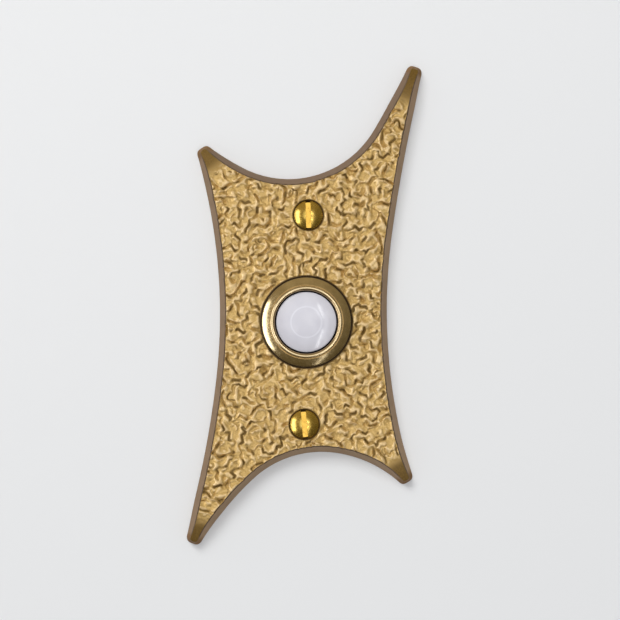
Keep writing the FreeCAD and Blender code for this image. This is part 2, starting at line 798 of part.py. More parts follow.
def hexagon_nut(label, corner, bore, level, thickness):
    """A six-sided nut, drawn about the axis of its own thread."""
    nut = body(label)
    derive(label + "_half_corner", corner + " / 2")
    derive(label + "_half_flat", corner + " * sqrt(3) / 2")
    doc.recompute()
    half, flat = label + "_half_corner", label + "_half_flat"
    sketch = level_sketch(nut, label + "_outline", level)
    outline(sketch, [
        (flat, "-" + half),
        (flat, half),
        ("0", corner),
        ("-" + flat, half),
        ("-" + flat, "-" + half),
        ("0", "-" + corner),
    ])
    circle(sketch, bore)
    pad(nut, label + "_blank", sketch, thickness)
    return nut


barrel_nut = hexagon_nut("barrel_nut", "nut_corner_radius", "nut_bore", "nut_rear", "nut_thickness")

# Terminals: the same strip, nut, washer and screw on each side of the base

base = body("terminal_base")
turn(base, "base_section", [
    ("0", "base_rear"),
    ("base_radius", "base_rear"),
    ("base_radius", "base_seat"),
    ("0", "base_seat"),
])
base_holes = level_sketch(base, "terminal_hole_circles", "base_rear")
circle(base_holes, "terminal_hole_radius", "terminal_offset", "0")
circle(base_holes, "terminal_hole_radius", "-terminal_offset", "0")
pocket(base, "terminal_holes", base_holes, "base_thickness", outward=True)


def contact_strip(label):
    """A foot under the nut and a tab that stands up beside the clip."""
    strip = body(label)
    foot_sketch = level_sketch(strip, label + "_foot_outline", "base_seat")
    outline(foot_sketch, [
        ("-foot_half_width", "-foot_half_length"),
        ("foot_half_width", "-foot_half_length"),
        ("foot_half_width", "foot_half_length"),
        ("tab_side", "foot_half_length"),
        ("tab_side", "tab_reach"),
        ("-foot_half_width", "tab_reach"),
    ])
    circle(foot_sketch, "terminal_hole_radius")
    pad(strip, label + "_foot", foot_sketch, "strip_thickness")
    tab_sketch = level_sketch(strip, label + "_tab_outline", "base_seat")
    outline(tab_sketch, [
        ("-foot_half_width", "tab_inner"),
        ("tab_side", "tab_inner"),
        ("tab_side", "tab_reach"),
        ("-foot_half_width", "tab_reach"),
    ])
    pad(strip, label + "_tab", tab_sketch, "tab_height")
    return strip


def terminal_screw(label):
    """A slotted binding-head screw, head to the rear."""
    screw = body(label)
    turn(screw, label + "_section", [
        ("0", "terminal_head_rear"),
        ("terminal_head_radius", "terminal_head_rear"),
        ("terminal_head_radius", "terminal_washer_rear"),
        ("terminal_shank_radius", "terminal_washer_rear"),
        ("terminal_shank_radius", "terminal_screw_front"),
        ("0", "terminal_screw_front"),
    ])
    slot_sketch = level_sketch(screw, label + "_slot_outline", "terminal_head_rear")
    outline(slot_sketch, [
        ("-terminal_slot_half", "-terminal_head_radius"),
        ("terminal_slot_half", "-terminal_head_radius"),
        ("terminal_slot_half", "terminal_head_radius"),
        ("-terminal_slot_half", "terminal_head_radius"),
    ])
    pocket(screw, label + "_slot", slot_sketch, "terminal_slot_depth", outward=True)
    return screw


def terminal_washer(label):
    """A square clamping washer for the bell wire."""
    washer = body(label)
    sketch = level_sketch(washer, label + "_outline", "terminal_washer_rear")
    half = "terminal_washer_half_width"
    outline(sketch, [("-" + half, "-" + half), (half, "-" + half), (half, half), ("-" + half, half)])
    circle(sketch, "terminal_hole_radius")
    pad(washer, label + "_blank", sketch, "terminal_washer_thickness")
    return washer


terminals = []
for side, turned in (("right", 0), ("left", 180)):
    pieces = [
        contact_strip("contact_strip_" + side),
        hexagon_nut(
            "terminal_nut_" + side, "terminal_nut_corner", "terminal_hole_radius",
            "strip_front", "terminal_nut_thickness",
        ),
        terminal_washer("terminal_washer_" + side),
        terminal_screw("terminal_screw_" + side),
    ]
    for piece in pieces:
        about_axis = FreeCAD.Rotation(FreeCAD.Vector(0, 0, 1), turned)
        piece.Placement = FreeCAD.Placement(FreeCAD.Vector(0, 0, 0), OUTWARD * about_axis)
        bind(piece, "Placement.Base.x", "terminal_offset" if side == "right" else "-terminal_offset")
    terminals += pieces


def mounting_screw(label, height, slot_angle):
    """A slotted oval-head wood screw, drawn about its own axis."""
    screw = body(label)
    turn(screw, label + "_section", [
        ("0", "screw_tip"),
        ("screw_thread_radius", "screw_point"),
        ("screw_thread_radius", "0"),
        ("screw_shank_radius", "0"),
        ("screw_shank_radius", "screw_neck"),
        ("screw_head_radius", "screw_edge"),
        ("screw_brow_radius", "screw_brow"),
        ("screw_crown_radius", "screw_top"),
        ("0", "screw_top"),
    ])
    slot_sketch = level_sketch(screw, label + "_slot_outline", "slot_floor")
    turned = FreeCAD.Rotation(FreeCAD.Vector(0, 0, 1), read(slot_angle))
    slot_sketch.AttachmentOffset = FreeCAD.Placement(FreeCAD.Vector(0, 0, 0), turned)
    bind(slot_sketch, "AttachmentOffset.Base.z", "slot_floor")
    bind(slot_sketch, "AttachmentOffset.Rotation.Angle", slot_angle)
    outline(slot_sketch, [
        ("-slot_half_width", "-screw_head_radius"),
        ("slot_half_width", "-screw_head_radius"),
        ("slot_half_width", "screw_head_radius"),
        ("-slot_half_width", "screw_head_radius"),
    ])
    pocket(screw, label + "_slot", slot_sketch, "slot_depth", outward=True)
    bind(screw, "Placement.Base.z", height)
    return screw


top_screw = mounting_screw("mounting_screw_top", "top_screw_height", "top_slot_angle")
bottom_screw = mounting_screw("mounting_screw_bottom", "bottom_screw_height", "bottom_slot_angle")

doc.recompute()

PIECES = [
    faceplate, housing, bezel, cap, disc, clip, spring, lock_washer, barrel_nut, base,
] + terminals + [top_screw, bottom_screw]

for thing in doc.Objects:
    if "Invalid" in thing.State or "Error" in thing.State:
        raise RuntimeError(thing.Label + " did not build: " + str(thing.State))

for piece in PIECES:
    shape = piece.Shape
    if shape.isNull() or not shape.isValid() or len(shape.Solids) != 1:
        raise RuntimeError(piece.Label + " is not one valid solid")
    shape.exportStep("parts/" + piece.Label + ".step")
    print(piece.Label, "volume %.1f mm3" % shape.Volume)
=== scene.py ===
import math

import bmesh
import bpy
import numpy as np
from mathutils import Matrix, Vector
from mathutils.geometry import delaunay_2d_cdt


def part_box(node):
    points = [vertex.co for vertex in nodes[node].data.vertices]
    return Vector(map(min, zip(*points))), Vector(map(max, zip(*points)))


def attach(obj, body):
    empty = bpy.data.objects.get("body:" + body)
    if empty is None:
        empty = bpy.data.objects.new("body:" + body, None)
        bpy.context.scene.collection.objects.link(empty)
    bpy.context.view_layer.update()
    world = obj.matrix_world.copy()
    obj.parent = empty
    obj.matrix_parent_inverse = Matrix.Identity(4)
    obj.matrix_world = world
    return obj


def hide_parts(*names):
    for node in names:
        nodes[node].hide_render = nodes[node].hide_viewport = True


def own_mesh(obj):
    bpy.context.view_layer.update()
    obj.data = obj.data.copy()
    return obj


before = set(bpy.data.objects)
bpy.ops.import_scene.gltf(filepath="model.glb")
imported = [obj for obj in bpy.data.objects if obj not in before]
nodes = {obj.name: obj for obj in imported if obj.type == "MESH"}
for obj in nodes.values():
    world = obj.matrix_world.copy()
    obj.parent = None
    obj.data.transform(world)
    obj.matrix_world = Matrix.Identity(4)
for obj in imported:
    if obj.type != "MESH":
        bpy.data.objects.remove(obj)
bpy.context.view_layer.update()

# Everything is drawn in millimetres with x to the right, y up and z out of the wall,
# about the push button's axis, and then turned into the frame's metres.
MM = 0.001

THICK = 4.0
BEVEL = 1.55
TIP_R = 1.8
TIP_THICK = 1.8
SLOPE_LENGTH = 9.5
HOLE_R = 8.1
RECESS_R = 11.77
RECESS_DEPTH = 1.5
SINK_R = 3.5
SCREW_HOLE_R = 1.9
SINK_TAN = math.tan(math.radians(41.0))

# Screws: which one, its height, and how far its slot leans in degrees.
SCREWS = (("top", 24.1, 2.7), ("bottom", -23.1, 5.9))

# Horns: tip centre and the way it points.
HORNS = {
    "top_right": ((23.25, 56.75), 72.2),
    "top_left": ((-23.61, 37.66), 125.3),
    "bottom_left": ((-24.36, -49.21), 249.6),
    "bottom_right": ((22.87, -34.55), 302.4),
}

# Where along a horn its smooth dark end starts, and where it is fully there.
DARK_ENDS = {
    "top_right": (-11.5, -6.5), "top_left": (-8.0, -4.0),
    "bottom_left": (-9.0, -4.0), "bottom_right": (-7.6, -4.4),
}

# Sides: middle arc's centre and radius, then the join and the radius of each end arc.
SIDES = {
    "top": ((-5.05, 54.71), 22.42, (-15.19, 54.4), (14.41, 138.9)),
    "bottom": ((4.46, -52.13), 22.77, (-11.33, 65.2), (7.27, 27.6)),
    "right": ((145.89, 5.43), 127.74, (-16.0, 127.74), (20.55, 350.0)),
    "left": ((-234.46, 7.1), 215.26, (-36.92, 1500.0), (-13.16, 128.3)),
}

# The axis that each side runs along: 0 for x, 1 for y.
AXIS = {"top": 0, "bottom": 0, "right": 1, "left": 1}


def smoothstep(low, high, x):
    t = np.clip((np.asarray(x, float) - low) / (high - low), 0.0, 1.0)
    return t * t * (3 - 2 * t)


def bell(x):
    return np.exp(-x * x)


def short_turn(angle):
    """The same turn, taken the short way round."""
    return (angle + math.pi) % (2 * math.pi) - math.pi


def coordinates(mesh):
    """A mesh's points in millimetres, along the frame's axes."""
    co = np.empty(len(mesh.vertices) * 3)
    mesh.vertices.foreach_get("co", co)
    return co.reshape(-1, 3) * 1000.0


def depths(name):
    """How far out of the wall a solid's rear and its front are."""
    low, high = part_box(name)
    return -high[1] * 1000.0, -low[1] * 1000.0


def make_object(name, points, faces):
    p = np.asarray(points, float) * MM
    coords = np.column_stack((p[:, 0], -p[:, 2], p[:, 1]))
    mesh = bpy.data.meshes.new(name)
    mesh.from_pydata(coords.tolist(), [], [tuple(int(i) for i in f) for f in faces])
    obj = bpy.data.objects.new(name, mesh)
    bpy.context.scene.collection.objects.link(obj)
    return obj


def ring_faces(rows, around, closed=False):
    """Quads between rows of points that each go once round."""
    faces = []
    for j in range(rows if closed else rows - 1):
        low, high = j * around, (j + 1) % rows * around
        for k in range(around):
            a = (k + 1) % around
            faces.append((low + k, low + a, high + a, high + k))
    return faces


def circle(radius, z, count, cy=0.0):
    angles = np.arange(count) * 2 * math.pi / count
    return [(radius * math.cos(a), cy + radius * math.sin(a), z) for a in angles]


def clean(obj, sharp, turned=False):
    """Welds double points, turns the faces outward and marks the sharp edges."""
    bm = bmesh.new()
    bm.from_mesh(obj.data)
    if turned:
        bmesh.ops.remove_doubles(bm, verts=bm.verts, dist=1e-7)
        bmesh.ops.dissolve_degenerate(bm, dist=1e-9, edges=bm.edges)
    bmesh.ops.remove_doubles(bm, verts=bm.verts, dist=2e-7)
    bmesh.ops.recalc_face_normals(bm, faces=bm.faces)
    limit = math.radians(sharp)
    for face in bm.faces:
        face.smooth = True
    for edge in bm.edges:
        edge.smooth = not (edge.is_manifold and edge.calc_face_angle(0.0) > limit)
    bm.to_mesh(obj.data)
    bm.free()
    obj.data.update()


def boolean(obj, cutter, kind):
    """Cuts or trims a closed mesh with another and keeps the result as plain mesh."""
    change = obj.modifiers.new("cut", "BOOLEAN")
    change.operation = kind
    change.solver = "EXACT"
    change.object = cutter
    bpy.context.view_layer.update()
    result = bpy.data.meshes.new_from_object(obj.evaluated_get(bpy.context.evaluated_depsgraph_get()))
    obj.modifiers.clear()
    obj.data = result
    bpy.data.objects.remove(cutter)


def soften(obj, width, angle=35.0, segments=2):
    """A small rounding on every sharp edge."""
    change = obj.modifiers.new("soft_edges", "BEVEL")
    change.width = width * MM
    change.segments = segments
    change.limit_method = "ANGLE"
    change.angle_limit = math.radians(angle)
    change.harden_normals = False
    change.use_clamp_overlap = True


# Outline of the faceplate

def side_arcs(side):
    """The three arcs of a side: each one's centre, its radius, and the joints with its neighbours."""
    centre, radius, *ends = SIDES[side]
    centre = np.array(centre)
    axis = AXIS[side]
    inward = -1 if side in ("right", "top") else 1
    joints = []
    for join, _ in ends:
        off = np.empty(2)
        off[axis] = join - centre[axis]
        off[1 - axis] = inward * math.sqrt(radius ** 2 - off[axis] ** 2)
        joints.append(centre + off)
    low, high = ((p + (centre - p) * (end[1] / radius), end[1], p) for p, end in zip(joints, ends))
    return low, (centre, radius, *joints), high


ARCS = {side: side_arcs(side) for side in SIDES}


def side_distance(side, x, y):
    """How far a point is in from a side, measured square to it."""
    place, axis = (x, y), AXIS[side]
    centre, _, low_joint, high_joint = ARCS[side][1]

    def past(joint):
        """Above 0 past the line from the middle arc's centre through a joint."""
        run, rise = joint[axis] - centre[axis], joint[1 - axis] - centre[1 - axis]
        return place[axis] - (centre[axis] + (place[1 - axis] - centre[1 - axis]) * run / rise)

    low, middle, high = (np.hypot(x - arc[0][0], y - arc[0][1]) - arc[1] for arc in ARCS[side])
    return np.where(past(low_joint) < 0, low, np.where(past(high_joint) > 0, high, middle))


def horn_way(horn):
    """The centre of a horn's round end, and the way the horn points."""
    tip, angle = HORNS[horn]
    turn = math.radians(angle)
    return np.array(tip), np.array((math.cos(turn), math.sin(turn)))


def horn_run(horn, x, y):
    """How far a point is along a horn: 0 at its very end, negative further in."""
    tip, way = horn_way(horn)
    return (x - tip[0]) * way[0] + (y - tip[1]) * way[1] - TIP_R


def tip_distance(horn, x, y):
    tip = HORNS[horn][0]
    return np.hypot(x - tip[0], y - tip[1])


def face_level(x, y):
    """The height of the smooth face, with the horns' slopes."""
    drop = THICK - TIP_THICK
    curve = (SLOPE_LENGTH ** 2 + drop ** 2) / (2 * drop)
    level = np.full(np.shape(x), THICK)
    for horn in HORNS:
        run = np.clip(horn_run(horn, x, y) + SLOPE_LENGTH, 0, curve * 0.9)
        slope = THICK - curve + np.sqrt(curve ** 2 - run ** 2)
        level = np.where(tip_distance(horn, x, y) < SLOPE_LENGTH + 6, np.minimum(level, slope), level)
    return level


def horn_end(x, y, wider=0.0):
    """0 on the plate, 1 on the smooth dark end of a horn."""
    amount = np.zeros(np.shape(x))
    for horn, (start, full) in DARK_ENDS.items():
        here = smoothstep(start - wider, full, horn_run(horn, x, y))
        amount = np.maximum(amount, np.where(tip_distance(horn, x, y) < 16, here, 0))
    return amount


# Relief of the face: creases with a raised lip beside them, over a soft crumple. It is drawn
# on a map of small squares.

PIXEL = 0.07
X0, X1, Y0, Y1 = -28.0, 27.0, -53.0, 60.5
COLUMNS = int((X1 - X0) / PIXEL) + 1
ROWS = int((Y1 - Y0) / PIXEL) + 1
GX, GY = np.meshgrid(X0 + np.arange(COLUMNS) * PIXEL, Y0 + np.arange(ROWS) * PIXEL)

# The height of an equilateral triangle with sides of 1.
TRIANGLE = 0.866


def blur(image, radius):
    """Two passes of a box blur."""
    for _ in range(2):
        for axis in (0, 1):
            pad = [(radius + 1, radius) if a == axis else (0, 0) for a in (0, 1)]
            total = np.cumsum(np.pad(image, pad, mode="edge"), axis=axis)
            count = image.shape[axis]
            low = np.take(total, np.arange(count), axis=axis)
            high = np.take(total, np.arange(count) + 2 * radius + 1, axis=axis)
            image = (high - low) / (2 * radius + 1)
    return image


def cad_creases():
    """The creases of the solid plate: each one's two ends and its lowest point."""
    mesh = nodes["faceplate"].data
    co = coordinates(mesh)
    pairs = np.empty(len(mesh.edges) * 2, int)
    mesh.edges.foreach_get("vertices", pairs)
    deep = {}
    for low, high in pairs.reshape(-1, 2):
        if -co[low, 1] > -co[high, 1]:
            low, high = high, low
        if abs(-co[high, 1] - THICK) < 0.01 and 3.5 < -co[low, 1] < 3.8:
            key = tuple(np.round(co[low, [0, 2]], 3))
            deep.setdefault(key, set()).add(tuple(np.round(co[high, [0, 2]], 3)))
    lines = []
    for middle, rim in sorted(deep.items()):
        far = sorted(rim, key=lambda p: -math.dist(p, middle))[:2]
        if len(far) == 2 and math.dist(far[0], middle) < 3.5:
            lines.append((np.array(far[0]), np.array(middle), np.array(far[1])))
    return lines


def stamp(groove, lip, line, width, depth, lip_height, lip_side, fade=0.6):
    """Presses one crease into the map, with its lip on one side more than the other."""
    reach = 4.2 * width
    low = line.min(0) - reach
    high = line.max(0) + reach
    c0, c1 = max(int((low[0] - X0) / PIXEL), 0), min(int((high[0] - X0) / PIXEL) + 2, COLUMNS)
    r0, r1 = max(int((low[1] - Y0) / PIXEL), 0), min(int((high[1] - Y0) / PIXEL) + 2, ROWS)
    if c1 <= c0 or r1 <= r0:
        return
    px, py = np.meshgrid(X0 + np.arange(c0, c1) * PIXEL, Y0 + np.arange(r0, r1) * PIXEL)
    best = np.full(px.shape, 1e9)
    side = np.zeros(px.shape)
    where = np.zeros(px.shape)
    count = len(line) - 1
    for k in range(count):
        a = line[k]
        run = line[k + 1] - a
        t = ((px - a[0]) * run[0] + (py - a[1]) * run[1]) / (float(run @ run) + 1e-12)
        t = np.clip(t, 0, 1)
        dx, dy = px - a[0] - t * run[0], py - a[1] - t * run[1]
        d = np.hypot(dx, dy)
        closer = d < best
        best = np.where(closer, d, best)
        side = np.where(closer, np.sign(run[0] * dy - run[1] * dx), side)
        where = np.where(closer, (k + t) / count, where)
    taper = np.clip(1.15 * np.sin(np.pi * np.clip(where, 0.02, 0.98)) ** fade, 0, 1)
    s = best / width
    cut = depth * taper * np.exp(-s ** 2.2)
    edge = np.exp(-((s - 1.9) / 0.85) ** 2) * (1 + lip_side * side) * 0.5 * taper
    window = (slice(r0, r1), slice(c0, c1))
    groove[window] = np.maximum(groove[window], cut) + 0.25 * np.minimum(groove[window], cut)
    lip[window] = np.maximum(lip[window], lip_height * edge)


def one_scale(rng, period, spread):
    """Noise of a single scale: its zero lines wind about, evenly spaced."""
    fy = np.fft.fftfreq(GX.shape[0], PIXEL)[:, None]
    fx = np.fft.rfftfreq(GX.shape[1], PIXEL)[None, :]
    share = np.exp(-((np.hypot(fx, fy) * period - 1) / spread) ** 2)
    field = np.fft.irfft2(np.fft.rfft2(rng.normal(size=GX.shape)) * share, GX.shape)
    return field / field.std()


def kinked(rng, field, size):
    """The field in flat triangles, so that its zero lines become chains of straight pieces."""
    bend_x, bend_y = (0.16 * size * one_scale(rng, 2.2 * size, 0.4) for _ in range(2))
    v = (GY + bend_y - Y0) / (size * TRIANGLE) + 3
    u = (GX + bend_x - X0) / size - 0.5 * v
    first = int(math.floor(u.min())) - 1
    u = u - first
    iu, iv = np.floor(u).astype(int), np.floor(v).astype(int)
    fu, fv = u - iu, v - iv
    jv, ju = np.mgrid[0:int(iv.max()) + 3, 0:int(iu.max()) + 3]
    column = ((ju + first + 0.5 * jv) * size / PIXEL).astype(int) % COLUMNS
    row = ((jv - 3) * size * TRIANGLE / PIXEL).astype(int) % ROWS
    corner = field[row, column]
    a, b, c, d = corner[iv, iu], corner[iv, iu + 1], corner[iv + 1, iu], corner[iv + 1, iu + 1]
    near = a + (b - a) * fu + (c - a) * fv
    far = d + (c - d) * (1 - fu) + (b - d) * (1 - fv)
    return blur(np.where(fu + fv < 1, near, far), 1)


def join_ends(lines, longest):
    """Pairs of crease ends near each other, for a crease that runs on from one to the other."""
    ends = np.array([p for start, _, end in lines for p in (start, end)])
    middles = np.array([middle for _, middle, _ in lines for _ in (0, 1)])
    gap = np.hypot(*(ends[:, None] - ends[None]).transpose(2, 0, 1))
    used, joined = set(), []
    for i, j in np.dstack(np.unravel_index(np.argsort(gap, axis=None), gap.shape))[0]:
        if i >= j or i // 2 == j // 2 or gap[i, j] > longest or i in used or j in used:
            continue
        if gap[i, j] > 0.25:
            way = (ends[j] - ends[i]) / gap[i, j]
            leaves = (ends[i] - middles[i]) / math.dist(ends[i], middles[i])
            enters = (middles[j] - ends[j]) / math.dist(ends[j], middles[j])
            if way @ leaves < -0.35 or way @ enters < -0.35:
                continue
        used |= {i, j}
        joined.append((middles[i], ends[i], ends[j], middles[j]))
    return joined


# Wrinkles: the pattern's period and its spread, a groove's half width and depth, the noise
# level at which they set in, the least share kept, and the size of their straight pieces.
WRINKLES = (
    (5.6, 0.36, 0.29, 0.52, -0.9, 0.22, 1.9),
    (3.7, 0.28, 0.21, 0.26, 0.0, 0.05, 1.4),
    (2.4, 0.30, 0.15, 0.08, -0.3, 0.0, 0.0),
)


def cell_edges(rng, cell, px, py):
    """How far a place is from the edges between the cells of scattered points."""
    u, v = (px - X0) / cell + 3, (py - Y0) / cell + 3
    iu, iv = np.floor(u).astype(int), np.floor(v).astype(int)
    jitter = rng.uniform(0.1, 0.9, (int(v.max()) + 4, int(u.max()) + 4, 2))
    near = np.full(px.shape, 9.0)
    second = np.full(px.shape, 9.0)
    for dy in (-1, 0, 1):
        for dx in (-1, 0, 1):
            spot = jitter[iv + dy, iu + dx]
            d = np.hypot(iu + dx + spot[..., 0] - u, iv + dy + spot[..., 1] - v)
            second = np.minimum(second, np.maximum(near, d))
            near = np.minimum(near, d)
    return (second - near) * cell * 0.6


def relief_map():
    """The height of the face over its level, and how dark each place is painted in the wrinkles: patina in
    their hollows and painted shade.
    """
    rng = np.random.default_rng(5)
    groove = np.zeros(GX.shape)
    lip = np.zeros(GX.shape)

    # The solid's own creases, bent, and creases that run on between them
    lines = cad_creases()
    for start, _, end in lines:
        run = end - start
        out = np.array((-run[1], run[0])) / np.hypot(*run) * rng.uniform(0.25, 0.6) * rng.choice((-1, 1))
        low, high = rng.uniform(0.22, 0.4), rng.uniform(0.6, 0.78)
        line = np.array([start, start + run * low + out, start + run * high - out, end])
        stamp(groove, lip, line, rng.uniform(0.22, 0.33), rng.uniform(0.32, 0.46),
              rng.uniform(0.17, 0.26), rng.uniform(-0.6, 0.6))
    for before, a, b, after in join_ends(lines, 2.4):
        run = b - a
        size = max(np.hypot(*run), 1e-6)
        out = np.array((-run[1], run[0])) / size * rng.uniform(-0.25, 0.25) * min(size, 1.0)
        line = np.array([a + (before - a) * 0.45, a, (a + b) / 2 + out, b, b + (after - b) * 0.45])
        stamp(groove, lip, line, rng.uniform(0.17, 0.26), rng.uniform(0.14, 0.36),
              rng.uniform(0.1, 0.2), rng.uniform(-0.6, 0.6), 0.35)
    height = lip - groove
    # Painted shade with patina: the creases' cores are darkened by their depth.
    dark = np.clip(groove / 0.26, 0, 1) ** 1.5
    busy = np.clip(blur(groove, 10) * 14, 0, 1)

    # Wrinkles along the zero lines of noise, where no crease is near
    for period, spread, width, depth, start, least, straight in WRINKLES:
        field = one_scale(rng, period, spread)
        if straight:
            field = kinked(rng, field, straight)
        slope_y, slope_x = np.gradient(field, PIXEL)
        steep = np.hypot(slope_x, slope_y)
        if straight:
            steep = blur(steep, 4)
        away = field / np.maximum(steep, 0.5 * steep.mean())
        region = smoothstep(start, start + 1.0, one_scale(rng, period * 0.8, 0.4))
        amount = (least + (1 - least) * region * smoothstep(0.25, 0.7, steep / steep.mean())) * (1 - busy)
        uneven = 0.35 * np.clip(one_scale(rng, period * 1.2, 0.4), -1, 1) * np.sign(away)
        width = width * (1.1 + 0.3 * np.clip(one_scale(rng, 4.0, 0.5), -1, 1))
        far = np.abs(away)
        height -= depth * amount * (0.8 * np.exp(-(far / width) ** 2.4) + 0.2 * bell(far / (2.6 * width)))
        height += 0.5 * depth * amount * (1 + uneven) * bell((far - 2.0 * width) / (0.8 * width))
        dark = np.maximum(dark, amount * bell(far / (0.75 * width)) * min(1.0, depth / 0.24))
        busy = np.maximum(busy, 0.8 * region * min(1.0, depth / 0.3))

    # The edges of cells in what is left, and a low crumple over all
    bend_x, bend_y = (0.6 * one_scale(rng, 3.4, 0.5) for _ in range(2))
    far = cell_edges(rng, 3.9, GX + bend_x, GY + bend_y)
    amount = 1 - busy
    height -= 0.34 * amount * np.exp(-(far / 0.28) ** 2.2)
    height += 0.16 * amount * bell((far - 0.58) / 0.22)
    dark = np.maximum(dark, amount * bell(far / 0.22))
    height += 0.14 * one_scale(rng, 3.2, 0.4) + 0.05 * one_scale(rng, 1.7, 0.4)
    height += 0.008 * one_scale(rng, 0.9, 0.4)
    dark = dark * (0.3 + 0.7 * smoothstep(-0.7, 0.7, one_scale(rng, 2.8, 0.5)))
    return height - 0.06, dark


RELIEF, CREASE_PATINA_AND_SHADE = relief_map()
# Painted highlight: paler colour on the ridges, by how far the relief rises over its blur.
RIDGE_PAINTED_HIGHLIGHT = np.clip((RELIEF - blur(RELIEF, 9)) * 6.0, 0.0, 1.0)


def look_up(image, x, y):
    """Straight-line look-up of a map at drawing places."""
    gx = np.clip((np.asarray(x, float) - X0) / PIXEL, 0, COLUMNS - 1.001)
    gy = np.clip((np.asarray(y, float) - Y0) / PIXEL, 0, ROWS - 1.001)
    ix, iy = gx.astype(int), gy.astype(int)
    fx, fy = gx - ix, gy - iy
    low = image[iy, ix] * (1 - fx) + image[iy, ix + 1] * fx
    high = image[iy + 1, ix] * (1 - fx) + image[iy + 1, ix + 1] * fx
    return low * (1 - fy) + high * fy


def relief(x, y):
    """The relief at a point, calm on the horns' ends, under the ring and round the screws."""
    x, y = np.asarray(x, float), np.asarray(y, float)
    r = np.hypot(x, y)
    calm = (1 - horn_end(x, y, 2.5)) * smoothstep(10.2, 10.75, r)
    value = look_up(RELIEF, x, y) * calm - 0.1 * (1 - smoothstep(9.6, 10.6, r)) * (r > 9.4)
    for _, height, _ in SCREWS:
        value = value * smoothstep(3.52, 4.05, np.hypot(x, y - height))
    return value


# Rows of points round the plate's edge

# The last stretch of each side bends by a hair, so that it meets the round end exactly.
MEET_LENGTH = 9.0
TIP_STEPS = 20

# The sides in turn round the plate: the horns at their low and high ends, whether a side is
# taken from its high end, and the horn that comes after it.
ORDER = (
    ("left", "bottom_left", "top_left", True, "bottom_left"),
    ("bottom", "bottom_left", "bottom_right", False, "bottom_right"),
    ("right", "bottom_right", "top_right", False, "top_right"),
    ("top", "top_left", "top_right", True, "top_left"),
)


def place_on(side, arc, angle, inset):
    centre, radius = ARCS[side][arc][:2]
    return centre + (radius + inset) * np.array((math.cos(angle), math.sin(angle)))


def angle_of(side, arc, point):
    centre = ARCS[side][arc][0]
    return math.atan2(point[1] - centre[1], point[0] - centre[0])


def tip_radius(share, level=TIP_THICK):
    """The radius of a horn's round end at a share of the bevel's height."""
    return TIP_R - share * level * BEVEL / THICK


def blunt(turn):
    """How much nearer a horn's round end is for its blunt tip, by the turn from its way."""
    ahead = max(math.cos(turn), 0.0)
    return (1 + (ahead / 0.87) ** 12) ** (-1 / 12)


def end_angles(side, arc, horn):
    """The angles at which an end arc starts, and touches the horn's round end."""
    first = angle_of(side, arc, ARCS[side][arc][2])
    return first, first + short_turn(angle_of(side, arc, HORNS[horn][0]) - first)


def end_miss(side, arc, horn):
    """How far an end arc passes outside the horn's round end."""
    centre, radius = ARCS[side][arc][:2]
    return math.dist(centre, HORNS[horn][0]) - radius - TIP_R


def side_row(side, share, counts, low_horn, high_horn):
    """Points along a side from low to high at a share of the bevel's height."""
    low_first, low_end = end_angles(side, 0, low_horn)
    high_first, high_end = end_angles(side, 2, high_horn)
    middle_first, middle_last = (angle_of(side, 1, joint) for joint in ARCS[side][1][2:])
    sweep = short_turn(middle_last - middle_first)
    pieces = [
        (0, np.linspace(low_end, low_first, counts[0] + 1)[:-1]),
        (1, middle_first + np.linspace(0, sweep, counts[1] + 1)[:-1]),
        (2, np.linspace(high_first, high_end, counts[2] + 1)),
    ]
    ends = {0: (low_end, end_miss(side, 0, low_horn)), 2: (high_end, end_miss(side, 2, high_horn))}
    row = []
    for arc, angles in pieces:
        for angle in angles:
            draw_in = 0.0
            if arc in ends:
                end, miss = ends[arc]
                away = abs(angle - end) * ARCS[side][arc][1]
                draw_in = miss * float(1 - smoothstep(0.0, MEET_LENGTH, away))
            p = place_on(side, arc, angle, draw_in + share * BEVEL)
            level = float(face_level(p[0], p[1]))
            if level < THICK - 0.01:
                for _ in range(3):
                    p = place_on(side, arc, angle, draw_in + share * level * BEVEL / THICK)
                    level = float(face_level(p[0], p[1]))
            height = level + min(float(relief(p[0], p[1])) * 0.55, 0.02)
            p = place_on(side, arc, angle, draw_in + share * height * BEVEL / THICK)
            row.append((p[0], p[1], share * height))
    return row


def horn_row(horn, share, before, after):
    """Points round a horn's end at a share of the bevel's height, between two sides' end points."""
    tip, ahead = horn_way(horn)
    ahead = math.atan2(ahead[1], ahead[0])
    ends = []
    for p in (before, after):
        angle = math.atan2(p[1] - tip[1], p[0] - tip[0])
        rim = (tip[0] + TIP_R * math.cos(angle), tip[1] + TIP_R * math.sin(angle))
        away = math.hypot(p[0] - tip[0], p[1] - tip[1])
        ends.append((angle, away - tip_radius(share, float(face_level(*rim)))))
    (first, miss_first), (last, miss_last) = ends
    sweep = (last - first) % (2 * math.pi)
    row = []
    for k in range(1, TIP_STEPS):
        t = k / TIP_STEPS
        angle = first + sweep * t
        way = np.array((math.cos(angle), math.sin(angle)))
        level = float(face_level(*(tip + TIP_R * way)))
        r = tip_radius(share, level) + miss_first * (1 - t) + miss_last * t
        x, y = tip + r * blunt(angle - ahead) * way
        row.append((x, y, share * float(face_level(x, y))))
    return row


def bevel_rows(shares, pitch):
    """Closed rows of points round the plate, one for each share of the bevel's height."""
    rows = []
    for share in shares:
        lines = []
        for side, low_horn, high_horn, backwards, _ in ORDER:
            low, middle, high = ARCS[side]
            lengths = (
                math.dist(low[2], HORNS[low_horn][0]), math.dist(middle[2], middle[3]) * 1.06,
                math.dist(high[2], HORNS[high_horn][0]),
            )
            counts = [max(int(length / pitch), 2) for length in lengths]
            line = side_row(side, share, counts, low_horn, high_horn)
            lines.append(line[::-1] if backwards else line)
        ring = []
        for i, (*_, horn) in enumerate(ORDER):
            ring += lines[i] + horn_row(horn, share, lines[i][-1], lines[(i + 1) % 4][0])
        rows.append(ring)
    return rows


# Faceplate

HOLE_COUNT = 128
SINK_COUNT = 72
SINK_STEPS = 6

# The kinds of surface, in the order of the plate's materials.
FACE, EDGE, BACK, SINK, LINE = range(5)


